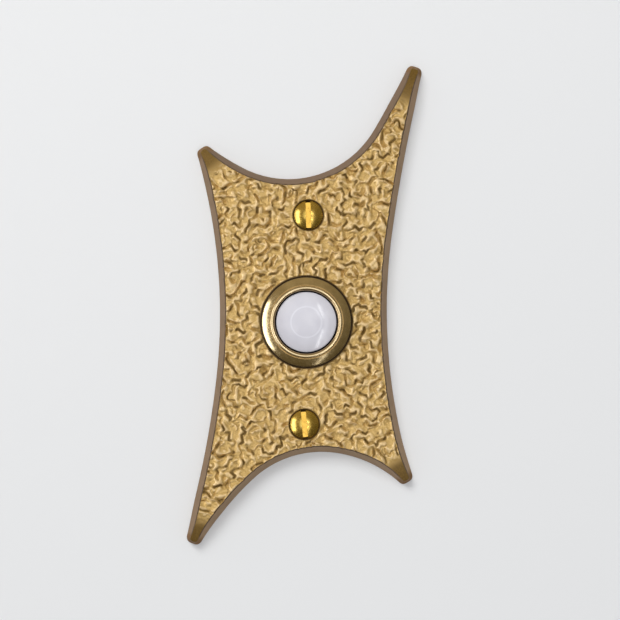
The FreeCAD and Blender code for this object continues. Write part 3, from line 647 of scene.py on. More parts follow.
def filled(outer, holes, inside):
    """Triangles that fill an outline round its holes, with more points between them."""
    coords, edges = [], []
    for loop in [outer] + holes:
        start = len(coords)
        coords += [Vector((p[0], p[1])) for p in loop]
        edges += [(start + k, start + (k + 1) % len(loop)) for k in range(len(loop))]
    coords += [Vector(p) for p in inside]
    points, _, faces, *_ = delaunay_2d_cdt(coords, edges, [], 0, 1e-7, False)
    faces = [tuple(f) for f in faces]
    owner = {}
    for index, (a, b, c) in enumerate(faces):
        owner[a, b] = owner[b, c] = owner[c, a] = index
    wall = set(edges) | {(b, a) for a, b in edges}
    waiting = [owner[edge] for edge in edges[:len(outer)] if edge in owner]
    kept = set(waiting)
    while waiting:
        a, b, c = faces[waiting.pop()]
        for edge in ((a, b), (b, c), (c, a)):
            if edge in wall:
                continue
            other = owner.get((edge[1], edge[0]))
            if other is not None and other not in kept:
                kept.add(other)
                waiting.append(other)
    return np.array([(p.x, p.y) for p in points]), np.array([faces[k] for k in sorted(kept)])


def grid_inside(pitch, inset, hole_r, screw_r, margin):
    """A grid's points in from the plate's sides and clear of its holes."""
    rows = int((Y1 - Y0) / (pitch * TRIANGLE)) + 1
    columns = int((X1 - X0) / pitch) + 1
    gy, gx = np.meshgrid(np.arange(rows), np.arange(columns), indexing="ij")
    x = (X0 + (gx + 0.5 * (gy % 2)) * pitch).ravel()
    y = (Y0 + gy * pitch * TRIANGLE).ravel()
    keep = np.hypot(x, y) > hole_r + margin
    least = inset(x, y)
    for side in SIDES:
        keep &= side_distance(side, x, y) > least
    for _, height, _ in SCREWS:
        keep &= np.hypot(x, y - height) > screw_r + margin
    return x[keep], y[keep]


def face_grid(pitch):
    """Points on the face, clear of the edge, the horns' ends and the holes."""
    margin = pitch * 0.45

    def inset(x, y):
        drawn = np.max([smoothstep(-11.0, -3.0, horn_run(horn, x, y)) for horn in HORNS], axis=0)
        return face_level(x, y) * BEVEL / THICK + margin + 0.22 * drawn

    x, y = grid_inside(pitch, inset, HOLE_R, SINK_R, margin)
    for horn in HORNS:
        run, away = horn_run(horn, x, y) + TIP_R, tip_distance(horn, x, y)
        rim = (run > 0) & (away < 12) & (away > 0.84 * tip_radius(1) - margin)
        keep = ~(rim | ((run > TIP_R) & (away < 30)))
        x, y = x[keep], y[keep]
    return np.column_stack((x, y)).tolist()


def back_grid():
    x, y = grid_inside(1.4, lambda x, y: 0.7, RECESS_R, SCREW_HOLE_R, 0.6)
    for horn in HORNS:
        keep = ~((horn_run(horn, x, y) + TIP_R > -0.6) & (tip_distance(horn, x, y) < 30))
        x, y = x[keep], y[keep]
    return np.column_stack((x, y)).tolist()


def paint_plate(obj):
    """Values at the plate's points that its materials read: painted shade with patina in the creases,
    painted shade with tarnish round the ring and the screws, a painted highlight on the ridges and painted
    shade on the top and left bevels.
    """
    co = coordinates(obj.data)
    x, y = co[:, 0], co[:, 2]
    front = (-co[:, 1] > 1.6).astype(float)
    r = np.hypot(x, y)
    calm = (1 - horn_end(x, y)) * smoothstep(10.3, 10.7, r)
    # Painted shade with tarnish: a dark ring on the face where it meets the ring and the screw heads.
    tarnish_and_gap_shade = 1 - smoothstep(10.35, 10.75, r)
    for _, height, _ in SCREWS:
        r = np.hypot(x, y - height)
        calm = calm * smoothstep(3.5, 3.9, r)
        tarnish_and_gap_shade = np.maximum(tarnish_and_gap_shade, 1 - smoothstep(3.4, 3.75, r))
    # Painted shade: the bevel along the top is darkened, and the left one less.
    upper = (1 - smoothstep(1.7, 2.2, side_distance("top", x, y))) * smoothstep(8.0, 22.0, y)
    left = (1 - smoothstep(1.7, 2.2, side_distance("left", x, y))) * (x < 0)
    for name, values in (
        ("patina_and_shade", np.maximum(look_up(CREASE_PATINA_AND_SHADE, x, y) * calm, 1.6 * tarnish_and_gap_shade) * front),
        ("ridge_painted_highlight", look_up(RIDGE_PAINTED_HIGHLIGHT, x, y) * front * calm),
        ("horn_tip", np.max([smoothstep(-2.8, -1.4, horn_run(horn, x, y)) for horn in HORNS], axis=0)),
        ("top_left_bevel_shade", np.maximum(upper, 0.45 * left)),
        ("horn_end", horn_end(x, y)),
    ):
        attribute = obj.data.attributes.new(name, "FLOAT", "POINT")
        attribute.data.foreach_set("value", values.astype(np.float32))


def build_faceplate():
    points, faces, kinds = [], [], []

    def add(new_points, new_faces, kind):
        base = len(points)
        points.extend(new_points)
        faces.extend(tuple(k + base for k in face) for face in new_faces)
        kinds.extend([kind] * len(new_faces))

    def wall(start, end, count, kind, cy=0.0):
        """A turned wall from one radius and height to another."""
        add(circle(*start, count, cy) + circle(*end, count, cy), ring_faces(2, count), kind)

    rows = bevel_rows((0.0, 0.3, 0.6, 0.72, 0.82, 1.0), 0.2)
    count = len(rows[0])
    add(sum(rows, []), ring_faces(len(rows), count), EDGE)
    kinds[-count:] = [LINE] * count

    holes = [circle(HOLE_R, 0.0, HOLE_COUNT)]
    holes += [circle(SINK_R, 0.0, SINK_COUNT, height) for _, height, _ in SCREWS]
    flat, triangles = filled(rows[-1], holes, face_grid(0.225))
    top = face_level(flat[:, 0], flat[:, 1]) + relief(flat[:, 0], flat[:, 1])
    top[:count] = [p[2] for p in rows[-1]]
    add(np.column_stack((flat, top)).tolist(), triangles, FACE)

    wall((HOLE_R, THICK), (HOLE_R, RECESS_DEPTH), HOLE_COUNT, BACK)
    wall((RECESS_R, RECESS_DEPTH), (RECESS_R, 0.0), HOLE_COUNT, BACK)
    wall((HOLE_R, RECESS_DEPTH), (RECESS_R, RECESS_DEPTH), HOLE_COUNT, BACK)
    depth = (SINK_R - SCREW_HOLE_R) / SINK_TAN
    shares = [k / SINK_STEPS for k in range(SINK_STEPS + 1)]
    sink = [(SINK_R + (SCREW_HOLE_R - SINK_R) * t, THICK - depth * t) for t in shares]
    for _, height, _ in SCREWS:
        for start, end in zip(sink, sink[1:]):
            wall(start, end, SINK_COUNT, SINK, height)
        wall((SCREW_HOLE_R, THICK - depth), (SCREW_HOLE_R, 0.0), SINK_COUNT, BACK, height)

    holes = [circle(RECESS_R, 0.0, HOLE_COUNT)]
    holes += [circle(SCREW_HOLE_R, 0.0, SINK_COUNT, height) for _, height, _ in SCREWS]
    flat, triangles = filled(rows[0], holes, back_grid())
    add([(x, y, 0.0) for x, y in flat], triangles[:, ::-1], BACK)

    obj = make_object("faceplate_cast", points, faces)
    obj.data.polygons.foreach_set("material_index", kinds)
    clean(obj, 50.0)
    paint_plate(obj)
    return obj


# Turned pieces

def rounded(profile, steps):
    """Rounds the corners of a closed (radius, depth, fillet) profile."""
    out = []
    for i, (*corner, fillet) in enumerate([(*p, 0.0)[:3] for p in profile]):
        p = np.array(corner, float)
        if fillet == 0:
            out.append(tuple(p))
            continue
        before = np.array(profile[i - 1][:2], float) - p
        after = np.array(profile[(i + 1) % len(profile)][:2], float) - p
        la, lb = np.hypot(*before), np.hypot(*after)
        a, b = before / la, after / lb
        half = math.acos(float(np.clip(a @ b, -0.9999, 0.9999))) / 2
        cut = min(fillet / math.tan(half), la * 0.48, lb * 0.48)
        radius = cut * math.tan(half)
        centre = p + (a + b) / np.hypot(*(a + b)) * (radius / math.sin(half))
        start = math.atan2(*(p + a * cut - centre)[::-1])
        end = math.atan2(*(p + b * cut - centre)[::-1])
        sweep = short_turn(end - start)
        for k in range(steps + 1):
            angle = start + sweep * k / steps
            out.append((centre[0] + radius * math.cos(angle), centre[1] + radius * math.sin(angle)))
    return out


def lathe(name, profile, segments, sharp, cy=0.0):
    """Turns a closed (radius, depth) profile about the line through (0, cy)."""
    points, faces = [], []
    n = len(profile)
    for k in range(segments):
        angle = 2 * math.pi * k / segments
        c, s = math.cos(angle), math.sin(angle)
        points += [(r * c, cy + r * s, z) for r, z in profile]
        here, after = k * n, (k + 1) % segments * n
        for i in range(n):
            j = (i + 1) % n
            if profile[i][0] > 1e-6 or profile[j][0] > 1e-6:
                faces.append((here + i, after + i, after + j, here + j))
    obj = make_object(name, points, faces)
    clean(obj, sharp, turned=True)
    return obj


def build_bezel():
    """The ring: a low skirt, a sloping face, a fine crease and a rounded bead."""
    arc = [math.pi * k / 14 for k in range(15)]
    bead = [(7.675 - 0.575 * math.cos(t), 5.72 + 0.53 * math.sin(t)) for t in arc]
    slope = []
    for k in range(9):
        t = k / 8
        slope.append((10.3 - (10.3 - 8.36) * t, 4.72 + (5.68 - 4.72) * t + 0.07 * math.sin(math.pi * t)))
    profile = rounded([(7.05, 5.0), (9.55, 5.0), (9.55, 4.02), (10.3, 4.02, 0.06), (10.3, 4.70, 0.16)], 6)
    profile = profile + slope[1:] + [(8.31, 5.66)] + bead[::-1][1:] + [(7.05, 5.6)]
    return lathe("bezel_ring_turned", profile, 224, 28.0)


def build_cap():
    """The cap with its stem; a fine ring is let into its dome."""
    rear, top = depths("push_cap")
    curve = 22.0
    dome = []
    for k in range(56):
        r = 6.1 * (1 - k / 55)
        z = top - curve + math.sqrt(curve ** 2 - r * r) - 0.004
        dome.append((r, z - 0.012 * math.exp(-((r - 3.45) / 0.13) ** 2)))
    corner = top - curve + math.sqrt(curve ** 2 - 6.8 ** 2)
    profile = rounded([
        (0.0, rear), (1.2, rear, 0.15), (1.2, -5.05), (0.85, -5.05), (0.85, -4.6), (1.2, -4.6),
        (1.2, -4.05), (1.5, -4.05, 0.05), (1.5, 4.7, 0.3), (5.8, 4.7, 0.4), (5.8, 0.8, 0.1), (6.8, 0.8, 0.1),
        (6.8, corner, 0.26), (6.1, dome[0][1]), (0.0, top - 0.004),
    ], 7)
    return lathe("push_cap_moulded", profile[:-2] + dome, 160, 32.0)


def build_barrel():
    """The barrel with its outer thread; every row is a ring of points round the axis."""
    segments, pitch = 112, 1.27
    turn = np.arange(segments) / segments
    bottom, flange = depths("barrel_housing")
    rows = [(np.full(segments, r), z) for r, z in rounded([
        (7.9, 4.0), (9.5, 4.0, 0.12), (9.5, flange, 0.15), (7.05, flange, 0.1), (7.05, -2.5, 0.3),
        (1.58, -2.5, 0.1), (1.58, -4.0, 0.1), (6.9, -4.0, 0.3), (6.9, bottom, 0.15), (7.5, bottom),
        (7.5, bottom + 0.02),
    ], 3)[1:-1]]
    count = int((4.0 - bottom) / pitch * 10)
    for k in range(count + 1):
        z = bottom + 0.05 + (3.98 - bottom - 0.05) * k / count
        phase = (z / pitch - turn) % 1.0
        cut = 0.4 * np.clip(1.25 * np.abs(2 * phase - 1) - 0.1, 0, 1)
        r = 7.9 - cut * float(smoothstep(4.0, 2.8, z))
        rows.append((np.minimum(r, 7.5 + (z - bottom) * 0.9), z))
    points = []
    for r, z in rows:
        points += zip(r * np.cos(2 * math.pi * turn), r * np.sin(2 * math.pi * turn), [z] * segments)
    obj = make_object("barrel_threaded", points, ring_faces(len(rows), segments, closed=True))
    clean(obj, 50.0)
    return obj


def build_nut():
    """The hexagonal nut, its corners turned down on both faces."""
    z0, z1 = depths("barrel_nut")
    far = max(nodes["barrel_nut"].data.vertices, key=lambda v: math.hypot(v.co.x, v.co.z))
    across = math.hypot(far.co.x, far.co.z) * 1000.0
    first = math.atan2(far.co.z, far.co.x)
    body = lathe("barrel_nut_turned", [
        (7.95, z0 + 0.25), (8.2, z0), (9.5, z0), (11.3, z0 + 0.85),
        (11.3, z1 - 0.85), (9.5, z1), (8.2, z1), (7.95, z1 - 0.25),
    ], 96, 35.0)
    angles = [first + math.pi * k / 3 for k in range(6)]
    points = [(across * math.cos(a), across * math.sin(a), z) for z in (z0 - 1, z1 + 1) for a in angles]
    faces = [tuple(range(6))[::-1], tuple(range(6, 12))] + ring_faces(2, 6)
    boolean(body, make_object("hexagon", points, faces), "INTERSECT")
    clean(body, 18.0)
    return body


def slot_cutter(top, lean, cy):
    turn = math.radians(lean)
    along = np.array((-math.sin(turn), math.cos(turn))) * 3.6
    across = np.array((math.cos(turn), math.sin(turn))) * 0.575
    points = []
    for z in (top - 1.7, top + 1.0):
        for a, b in ((-1, -1), (1, -1), (1, 1), (-1, 1)):
            points.append((*(np.array((0.0, cy)) + across * a + along * b), z))
    faces = [(3, 2, 1, 0), (4, 5, 6, 7), (0, 1, 5, 4), (1, 2, 6, 5), (2, 3, 7, 6), (3, 0, 4, 7)]
    return make_object("slot", points, faces)


def build_screw_head(end, cy, lean, top_z):
    """The oval head and the start of the shank, with its slot cut."""
    edge_z = top_z - 1.2
    curve = (3.3 ** 2 + 1.2 ** 2) / 2.4
    dome = []
    for k in range(27):
        r = 3.3 * (1 - k / 26)
        dome.append((r * 0.999, top_z - curve + math.sqrt(curve ** 2 - r * r)))
    neck_z = edge_z - (3.3 - 1.75) / SINK_TAN
    profile = rounded([(0.0, 0.0), (1.75, 0.0), (1.75, neck_z, 0.3)], 4)
    profile += [(3.22, edge_z - 0.09), (3.29, edge_z - 0.02)] + dome
    head = lathe("mounting_screw_%s_head" % end, profile, 112, 30.0, cy)
    boolean(head, slot_cutter(top_z, lean, cy), "DIFFERENCE")
    clean(head, 30.0)
    soften(head, 0.09, 40.0, 3)
    return head


def build_screw_thread(end, cy, tip_z):
    """The threaded shank with its point, closed at both ends."""
    core, crest, pitch = 1.12, 1.6, 1.41
    point_z, top_z = tip_z + 4.0, 0.02
    around = 40
    rows = int((top_z - tip_z) / pitch * 12)
    points = []
    for j in range(rows + 1):
        z = tip_z + (top_z - tip_z) * j / rows
        root = core
        if z > -0.6:
            root = core + (crest - 0.02 - core) * min((z + 0.6) / 0.6, 1.0)
        for k in range(around):
            angle = 2 * math.pi * k / around
            phase = (z / pitch - k / around) % 1.0
            r = root + (crest - root) * max(0.0, 1 - abs(phase - 0.5) / 0.2)
            if z < point_z:
                r = r * max((z - tip_z) / (point_z - tip_z), 0.0) ** 0.8 + 0.02
            r = min(r, crest)
            points.append((r * math.cos(angle), cy + r * math.sin(angle), z))
    faces = ring_faces(rows + 1, around)
    low, last = len(points), rows * around
    points += [(0.0, cy, tip_z), (0.0, cy, top_z)]
    for k in range(around):
        a = (k + 1) % around
        faces += [(low, a, k), (low + 1, last + k, last + a)]
    thread = make_object("mounting_screw_%s_thread" % end, points, faces)
    clean(thread, 60.0)
    return thread


def build_spring():
    """The coil, with its ends wound closer than its middle."""
    z0, z1 = depths("return_spring")
    wire, radius, turns = 0.34, 3.3, 3.5
    start, end = z0 + 0.36, z1 - 0.36
    steps, around = 150, 14
    points = []
    for k in range(steps + 1):
        t = k / steps
        eased = 0.5 - 0.5 * math.cos(math.pi * t)
        rise = start + (end - start) * (0.75 * t + 0.25 * eased)
        angle = 2 * math.pi * turns * t
        for j in range(around):
            lean = 2 * math.pi * j / around
            r = radius + wire * math.cos(lean)
            points.append((r * math.cos(angle), r * math.sin(angle), rise + wire * math.sin(lean)))
    faces = ring_faces(steps + 1, around)
    faces += [tuple(range(around)), tuple(range(steps * around, (steps + 1) * around))]
    obj = make_object("return_spring_coil", points, faces)
    clean(obj, 50.0)
    return obj


# Materials

def srgb(red, green, blue):
    """A colour given in screen values from 0 to 255."""
    out = []
    for v in (red, green, blue):
        v = v / 255.0
        out.append(v / 12.92 if v <= 0.04045 else ((v + 0.055) / 1.055) ** 2.4)
    return tuple(out) + (1.0,)


class Nodes:
    """Short calls for the nodes of one material or world."""

    def __init__(self, data):
        data.use_nodes = True
        self.data = data
        self.tree = data.node_tree
        self.place = None

    def add(self, kind):
        return self.tree.nodes.new(kind)

    def first(self, kind):
        return next(n for n in self.tree.nodes if n.type == kind)

    def feed(self, socket, value):
        """Links another node's output to a socket, or sets the socket to a value."""
        if hasattr(value, "is_output"):
            self.tree.links.new(value, socket)
        else:
            socket.default_value = value

    def where(self):
        if self.place is None:
            self.place = self.add("ShaderNodeTexCoord").outputs["Object"]
        return self.place

    def noise(self, per_mm, detail=3.0, rough=0.5):
        n = self.add("ShaderNodeTexNoise")
        n.inputs["Scale"].default_value = per_mm * 1000.0
        n.inputs["Detail"].default_value = detail
        n.inputs["Roughness"].default_value = rough
        self.feed(n.inputs["Vector"], self.where())
        return n.outputs["Fac"]

    def attribute(self, name):
        n = self.add("ShaderNodeAttribute")
        n.attribute_name = name
        return n.outputs["Fac"]

    def ramp(self, value, low, high, out_low=0.0, out_high=1.0, smooth=True):
        n = self.add("ShaderNodeMapRange")
        n.interpolation_type = "SMOOTHSTEP" if smooth else "LINEAR"
        names = ("Value", "From Min", "From Max", "To Min", "To Max")
        for name, setting in zip(names, (value, low, high, out_low, out_high)):
            self.feed(n.inputs[name], setting)
        return n.outputs["Result"]

    def math(self, kind, a, b=0.0):
        n = self.add("ShaderNodeMath")
        n.operation = kind
        self.feed(n.inputs[0], a)
        self.feed(n.inputs[1], b)
        return n.outputs[0]

    def mix(self, share, a, b):
        n = self.add("ShaderNodeMix")
        n.data_type = "RGBA"
        for k, value in ((0, share), (6, a), (7, b)):
            self.feed(n.inputs[k], value)
        return n.outputs[2]

    def fade(self, value, low, high, a, b, most=1.0):
        """Goes from one colour to another, or to a share of it, as a value goes from low to high."""
        return self.mix(self.ramp(value, low, high, 0.0, most), a, b)

    def bump(self, height, depth, strength):
        n = self.add("ShaderNodeBump")
        n.inputs["Strength"].default_value = strength
        n.inputs["Distance"].default_value = depth * MM
        self.feed(n.inputs["Height"], height)
        return n.outputs["Normal"]

    def split(self):
        n = self.add("ShaderNodeSeparateXYZ")
        self.feed(n.inputs[0], self.where())
        return n.outputs

    def radius(self):
        """Distance from the push button's axis, in millimetres."""
        x, _, z = self.split()[:3]
        squares = self.math("ADD", self.math("MULTIPLY", x, x), self.math("MULTIPLY", z, z))
        return self.math("MULTIPLY", self.math("SQRT", squares), 1000.0)

    def surface(self, colour, rough, metal=0.0, normal=None, **others):
        """Feeds the material's shader and returns the material."""
        shader = self.first("BSDF_PRINCIPLED")
        values = {"Base Color": colour, "Roughness": rough, "Metallic": metal, **others}
        for name, value in values.items():
            self.feed(shader.inputs[name], value)
        if normal:
            self.feed(shader.inputs["Normal"], normal)
        return self.data


def new_material(name):
    return Nodes(bpy.data.materials.new(name))


def face_brass():
    n = new_material("plate_face_brass")
    patina_and_shade, grain = n.attribute("patina_and_shade"), n.noise(3.0, 4.0, 0.6)
    gold = n.fade(n.noise(0.25, 2.0), 0.3, 0.7, srgb(198, 165, 101), srgb(208, 175, 110))
    gold = n.fade(grain, 0.35, 0.7, gold, srgb(168, 134, 70), 0.6)
    # Painted highlight: the ridges paler.
    gold = n.fade(n.attribute("ridge_painted_highlight"), 0.2, 0.9, gold, srgb(240, 212, 164), 0.6)
    # Painted shade with patina in the wrinkles' cores, towards dark brown.
    gold = n.fade(patina_and_shade, 0.08, 0.85, gold, srgb(84, 60, 12), 0.8)
    # Painted shade with tarnish: near black in the gaps round the ring and the screw heads.
    gold = n.fade(patina_and_shade, 1.1, 1.6, gold, srgb(52, 36, 20))
    bronze = n.fade(grain, 0.3, 0.7, srgb(100, 76, 28), srgb(122, 94, 38))
    rough = n.math("ADD", n.ramp(grain, 0.3, 0.7, 0.36, 0.5), n.ramp(patina_and_shade, 0.1, 0.8, 0.0, 0.15))
    colour = n.mix(n.attribute("horn_end"), gold, bronze)
    return n.surface(colour, rough, 0.4, n.bump(n.noise(2.6, 6.0, 0.7), 0.05, 0.8))


def bevel_paint():
    n = new_material("plate_bevel_paint")
    grain = n.noise(6.0, 4.0, 0.6)
    paint = n.fade(n.noise(0.3, 3.0), 0.3, 0.7, srgb(150, 123, 93), srgb(160, 132, 101))
    paint = n.fade(grain, 0.4, 0.75, paint, srgb(132, 106, 80), 0.25)
    # Painted shade on the top bevel, and less on the left one.
    paint = n.mix(n.math("MULTIPLY", n.attribute("top_left_bevel_shade"), 0.75), paint, srgb(104, 82, 62))
    paint = n.mix(n.attribute("horn_tip"), paint, srgb(122, 88, 46))
    return n.surface(paint, 0.65, 0.0, n.bump(grain, 0.01, 0.5), **{"Specular IOR Level": 0.3})


def edge_line():
    n = new_material("plate_edge_line")
    grain = n.noise(1.2, 4.0, 0.6)
    line = n.fade(grain, 0.3, 0.7, srgb(62, 42, 14), srgb(98, 70, 30))
    line = n.mix(n.attribute("horn_tip"), line, srgb(112, 84, 38))
    return n.surface(line, 0.5, 0.2, n.bump(grain, 0.01, 0.5), **{"Specular IOR Level": 0.2})


def back_brass():
    n = new_material("plate_back_brass")
    grain = n.noise(1.6, 6.0, 0.65)
    colour = n.fade(n.noise(0.2, 4.0, 0.6), 0.3, 0.7, srgb(150, 118, 66), srgb(176, 142, 86))
    colour = n.fade(grain, 0.45, 0.7, colour, srgb(104, 82, 46), 0.6)
    return n.surface(colour, n.ramp(grain, 0.3, 0.7, 0.45, 0.62), 0.8, n.bump(grain, 0.06, 0.7))


def sink_brass():
    n = new_material("plate_sink_brass")
    return n.surface(n.mix(n.noise(2.5, 4.0, 0.6), srgb(60, 46, 24), srgb(84, 64, 34)), 0.5, 0.7)


def bezel_brass():
    n = new_material("bezel_aged_brass")
    radius, grain = n.radius(), n.noise(2.0, 4.0, 0.6)
    colour = n.fade(n.noise(0.35, 3.0), 0.3, 0.7, srgb(188, 168, 130), srgb(206, 186, 146))
    colour = n.fade(radius, 8.42, 8.26, colour, srgb(196, 176, 140), 0.5)
    # Painted shade: near black at the ring's outer rim for its contact shadow, a browner band on the bead's
    # inner side going down into the well, and near black at the well's edge round the cap.
    colour = n.fade(radius, 9.9, 10.12, colour, srgb(34, 20, 12), 0.95)
    colour = n.fade(radius, 7.6, 7.2, colour, srgb(136, 102, 64), 0.5)
    colour = n.fade(radius, 7.16, 7.05, colour, srgb(34, 22, 14), 0.95)
    rough = n.math("ADD", n.ramp(grain, 0.3, 0.75, 0.14, 0.26), n.ramp(radius, 9.95, 10.1, 0.0, 0.3))
    return n.surface(colour, rough, 1.0, n.bump(n.noise(5.0, 3.0, 0.6), 0.004, 0.4))


def screw_brass():
    n = new_material("screw_polished_brass")
    grain = n.noise(2.2, 4.0, 0.6)
    colour = n.fade(n.noise(0.8, 3.0), 0.3, 0.7, srgb(192, 162, 78), srgb(208, 176, 92))
    colour = n.fade(grain, 0.5, 0.75, colour, srgb(140, 116, 58), 0.5)
    out_of_wall = n.math("MULTIPLY", n.split()[1], -1000.0)
    colour = n.fade(out_of_wall, 4.1, 3.7, colour, srgb(214, 160, 62), 0.45)
    rough = n.ramp(grain, 0.3, 0.75, 0.19, 0.32)
    return n.surface(colour, rough, 1.0, n.bump(n.noise(4.0, 4.0, 0.6), 0.008, 0.5))


def cap_white():
    n = new_material("cap_white_plastic")
    radius = n.radius()
    # Painted highlight: a paler ring along the dome's fine groove.
    ring = n.math("MULTIPLY", n.ramp(radius, 3.15, 3.42), n.ramp(radius, 3.75, 3.48))
    colour = n.fade(n.noise(0.3, 2.0), 0.3, 0.7, srgb(207, 206, 214), srgb(213, 212, 219))
    colour = n.mix(n.math("MULTIPLY", ring, 0.45), colour, srgb(232, 232, 240))
    under = {"Subsurface Weight": 0.15, "Subsurface Radius": (0.6, 0.6, 0.6), "Subsurface Scale": 0.001}
    return n.surface(colour, 0.13, 0.0, n.bump(n.noise(0.7, 2.0, 0.5), 0.004, 0.3), **under)


def plain_metal(name, light, dark, low, high):
    n = new_material(name)
    grain = n.noise(1.8, 5.0, 0.6)
    colour = n.fade(grain, 0.3, 0.7, dark, light)
    rough = n.ramp(grain, 0.3, 0.7, low, high)
    return n.surface(colour, rough, 1.0, n.bump(n.noise(3.5, 4.0, 0.6), 0.01, 0.4))


def plain_plastic(name, light, dark, rough):
    n = new_material(name)
    grain = n.noise(1.5, 5.0, 0.6)
    colour = n.fade(grain, 0.3, 0.7, dark, light)
    rough = n.ramp(grain, 0.3, 0.7, rough - 0.08, rough + 0.08)
    return n.surface(colour, rough, 0.0, n.bump(n.noise(5.0, 4.0, 0.6), 0.012, 0.5))


def dress(obj, *materials):
    """Gives an object its materials, in the order of its faces' numbers."""
    slots = obj.data.materials
    for k, material in enumerate(materials):
        if k < len(slots):
            slots[k] = material
        else:
            slots.append(material)


# Pieces

def mount(piece, body, node, slot, *materials):
    dress(piece, *materials)
    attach(piece, body)
    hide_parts(node)


steel = plain_metal("plated_steel", srgb(196, 198, 202), srgb(160, 162, 168), 0.22, 0.36)
contact = plain_metal("contact_brass", srgb(214, 182, 104), srgb(176, 144, 76), 0.25, 0.4)
barrel = plain_plastic("barrel_plastic", srgb(36, 35, 36), srgb(26, 25, 27), 0.45)
fibre = plain_plastic("base_plastic", srgb(126, 90, 60), srgb(104, 72, 46), 0.6)

plate_materials = (face_brass(), bevel_paint(), back_brass(), sink_brass(), edge_line())
mount(build_faceplate(), "plate", "faceplate", "plate_brass", *plate_materials)
mount(build_bezel(), "plate", "bezel_ring", "bezel_brass", bezel_brass())
mount(build_cap(), "button", "push_cap", "cap_plastic", cap_white())
mount(build_barrel(), "plate", "barrel_housing", "barrel_plastic", barrel)
mount(build_nut(), "plate", "barrel_nut", "plated_steel", steel)

screw_metal = screw_brass()
for end, height, lean in SCREWS:
    screw = "mounting_screw_" + end
    rear_z, front_z = depths(screw)
    mount(build_screw_head(end, height, lean, front_z), "plate", screw, "screw_brass", screw_metal)
    mount(build_screw_thread(end, height, rear_z), "plate", screw, "screw_brass", screw_metal)

# The coil stands against the web at its rear end, and gets a mesh of its own.
spring = build_spring()
mount(spring, "plate", "return_spring", "plated_steel", steel)
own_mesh(spring)

# The nodes that keep their mesh, with how much their edges are rounded.
for material, names, edge in (
    (fibre, ("terminal_base",), 0.12),
    (steel, ("lock_washer", "terminal_washer_left", "terminal_washer_right"), 0.06),
    (steel, ("stem_clip",), 0.05),
    (steel, ("terminal_screw_left", "terminal_screw_right"), 0.08),
    (contact, ("contact_disc", "contact_strip_left", "contact_strip_right"), 0.06),
    (contact, ("terminal_nut_left", "terminal_nut_right"), 0.08),
):
    for name in names:
        dress(nodes[name], material)
        soften(nodes[name], edge)


# Stage: a pale wall seen from its front, a dark tent for the metal to reflect, lamps, camera

def wall_material():
    n = new_material("stage_wall")
    n.surface((0.8, 0.81, 0.82, 1.0), 0.9)
    mix = n.add("ShaderNodeMixShader")
    n.feed(mix.inputs[0], n.add("ShaderNodeNewGeometry").outputs["Backfacing"])
    n.feed(mix.inputs[1], n.first("BSDF_PRINCIPLED").outputs[0])
    n.feed(mix.inputs[2], n.add("ShaderNodeBsdfTransparent").outputs[0])
    n.feed(n.first("OUTPUT_MATERIAL").inputs["Surface"], mix.outputs[0])
    return n.data


def tent_material():
    """A glow that gets brighter upwards and darker to the right."""
    n = new_material("stage_tent")
    x, _, z = n.split()[:3]
    tone = n.mix(n.ramp(z, -1.5, 1.5, smooth=False), (0.12, 0.098, 0.052, 1.0), (0.5, 0.415, 0.26, 1.0))
    glow = n.add("ShaderNodeEmission")
    colour = n.mix(n.ramp(x, 0.2, 1.2, 0.0, 0.45, smooth=False), tone, (0.1, 0.09, 0.055, 1.0))
    n.feed(glow.inputs["Color"], colour)
    n.feed(glow.inputs["Strength"], 1.0)
    n.feed(n.first("OUTPUT_MATERIAL").inputs["Surface"], glow.outputs[0])
    return n.data


# The wall is open behind the plate, so that the plate's back is lit in the views from behind.
WALL = 3000.0
outline = [(p[0], p[1]) for p in bevel_rows((0.45,), 1.0)[0]]
square = [(-WALL, -WALL), (WALL, -WALL), (WALL, WALL), (-WALL, WALL)]
flat, triangles = filled(square, [outline], [])
wall = make_object("stage_wall", [(x, y, -0.1) for x, y in flat], triangles)
dress(wall, wall_material())

# The tent: part of a sphere between two angles off the button's axis.
TENT_R, TENT_BANDS, TENT_COUNT = 1600.0, 14, 48
points = []
for j in range(TENT_BANDS + 1):
    off = math.radians(27 + (88 - 27) * j / TENT_BANDS)
    points += circle(TENT_R * math.sin(off), TENT_R * math.cos(off), TENT_COUNT)
tent = make_object("stage_tent", points, ring_faces(TENT_BANDS + 1, TENT_COUNT))
tent.visible_camera = False
tent.visible_diffuse = False
tent.visible_shadow = False
tent.visible_transmission = False
tent.visible_volume_scatter = False
dress(tent, tent_material())

scene = bpy.context.scene


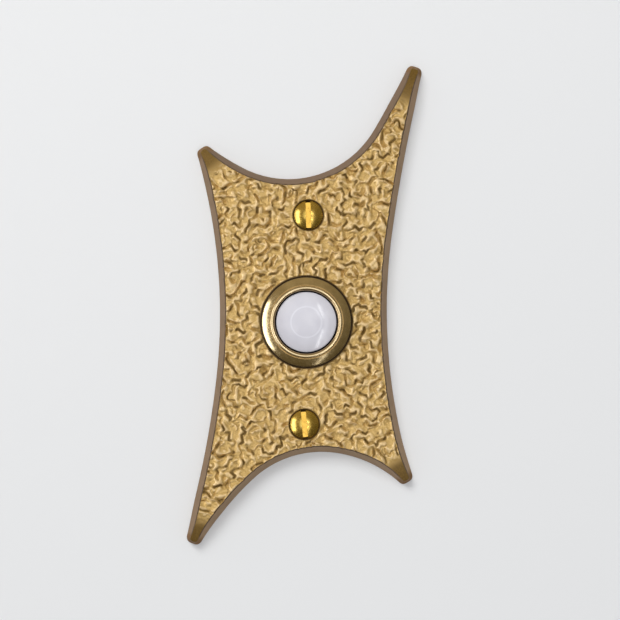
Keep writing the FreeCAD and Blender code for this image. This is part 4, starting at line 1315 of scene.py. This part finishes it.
def softbox(name, right, up, distance, size, power, colour=(1, 1, 1), spin=0.0, seen=True, lights=True):
    """A lamp that faces the button, placed by its angles off the button's axis in degrees."""
    data = bpy.data.lights.new(name, "AREA")
    data.shape = "RECTANGLE"
    data.size, data.size_y = size
    data.energy = power
    data.color = colour
    lamp = bpy.data.objects.new(name, data)
    x, z = math.tan(math.radians(right)), math.tan(math.radians(up))
    lamp.location = Vector((x, -1.0, z)).normalized() * distance
    lamp.rotation_euler = (-lamp.location).to_track_quat("-Z", "Y").to_euler()
    lamp.rotation_euler.rotate_axis("Z", math.radians(spin))
    lamp.visible_glossy = seen
    lamp.visible_diffuse = lights
    scene.collection.objects.link(lamp)


softbox("key", -28, 39, 1.0, (0.45, 0.45), 5.7, (1.0, 0.985, 0.96), seen=False)
softbox("front", -4, 4, 1.3, (0.8, 0.8), 2.0, (1.0, 0.99, 0.97))
softbox("left_panel", -58, -11, 0.8, (0.28, 0.86), 3.4, (0.98, 1.0, 1.04), lights=False)
softbox("right_panel", 24, -26, 1.0, (0.06, 1.5), 0.6)
softbox("right_strip_high", 17.7, 13.8, 1.0, (0.035, 0.30), 0.36, spin=19)
softbox("right_strip_low", 17.5, -21.3, 1.0, (0.028, 0.42), 0.62, spin=-16)

# The world is paler where it is seen than where it lights.
scene.world = bpy.data.worlds.new("studio")
n = Nodes(scene.world)
rays = n.add("ShaderNodeLightPath").outputs
seen = n.math("MAXIMUM", rays["Is Camera Ray"], rays["Is Glossy Ray"])
seen = n.math("MAXIMUM", seen, rays["Is Transmission Ray"])
background = n.first("BACKGROUND")
n.feed(background.inputs["Strength"], n.ramp(seen, 0.0, 1.0, 0.39, 0.9, smooth=False))
n.feed(background.inputs["Color"], (0.96, 0.97, 1.0, 1.0))

# The camera looks along +Y with a slight roll; its middle is off the button's axis by so many
# pixels of a picture 620 wide.
DISTANCE = 0.75
FRAME_WIDTH = 0.13975
SENSOR = 36.0
FOCUS_DEPTH = 0.004
roll = math.radians(-1.07)
right = (310 - 306.35) * FRAME_WIDTH / 620.0
up = (322.0 - 310) * FRAME_WIDTH / 620.0
camera_data = bpy.data.cameras.new("camera")
camera_data.sensor_width = SENSOR
camera_data.lens = SENSOR * (DISTANCE - FOCUS_DEPTH) / FRAME_WIDTH
camera_data.clip_start = 0.01
camera_data.clip_end = 20.0
camera = bpy.data.objects.new("camera", camera_data)
scene.collection.objects.link(camera)
camera.location = (
    right * math.cos(roll) + up * math.sin(roll), -DISTANCE, -right * math.sin(roll) + up * math.cos(roll)
)
camera.rotation_euler = (math.pi / 2, roll, 0)
scene.camera = camera

scene.view_settings.view_transform = "Standard"
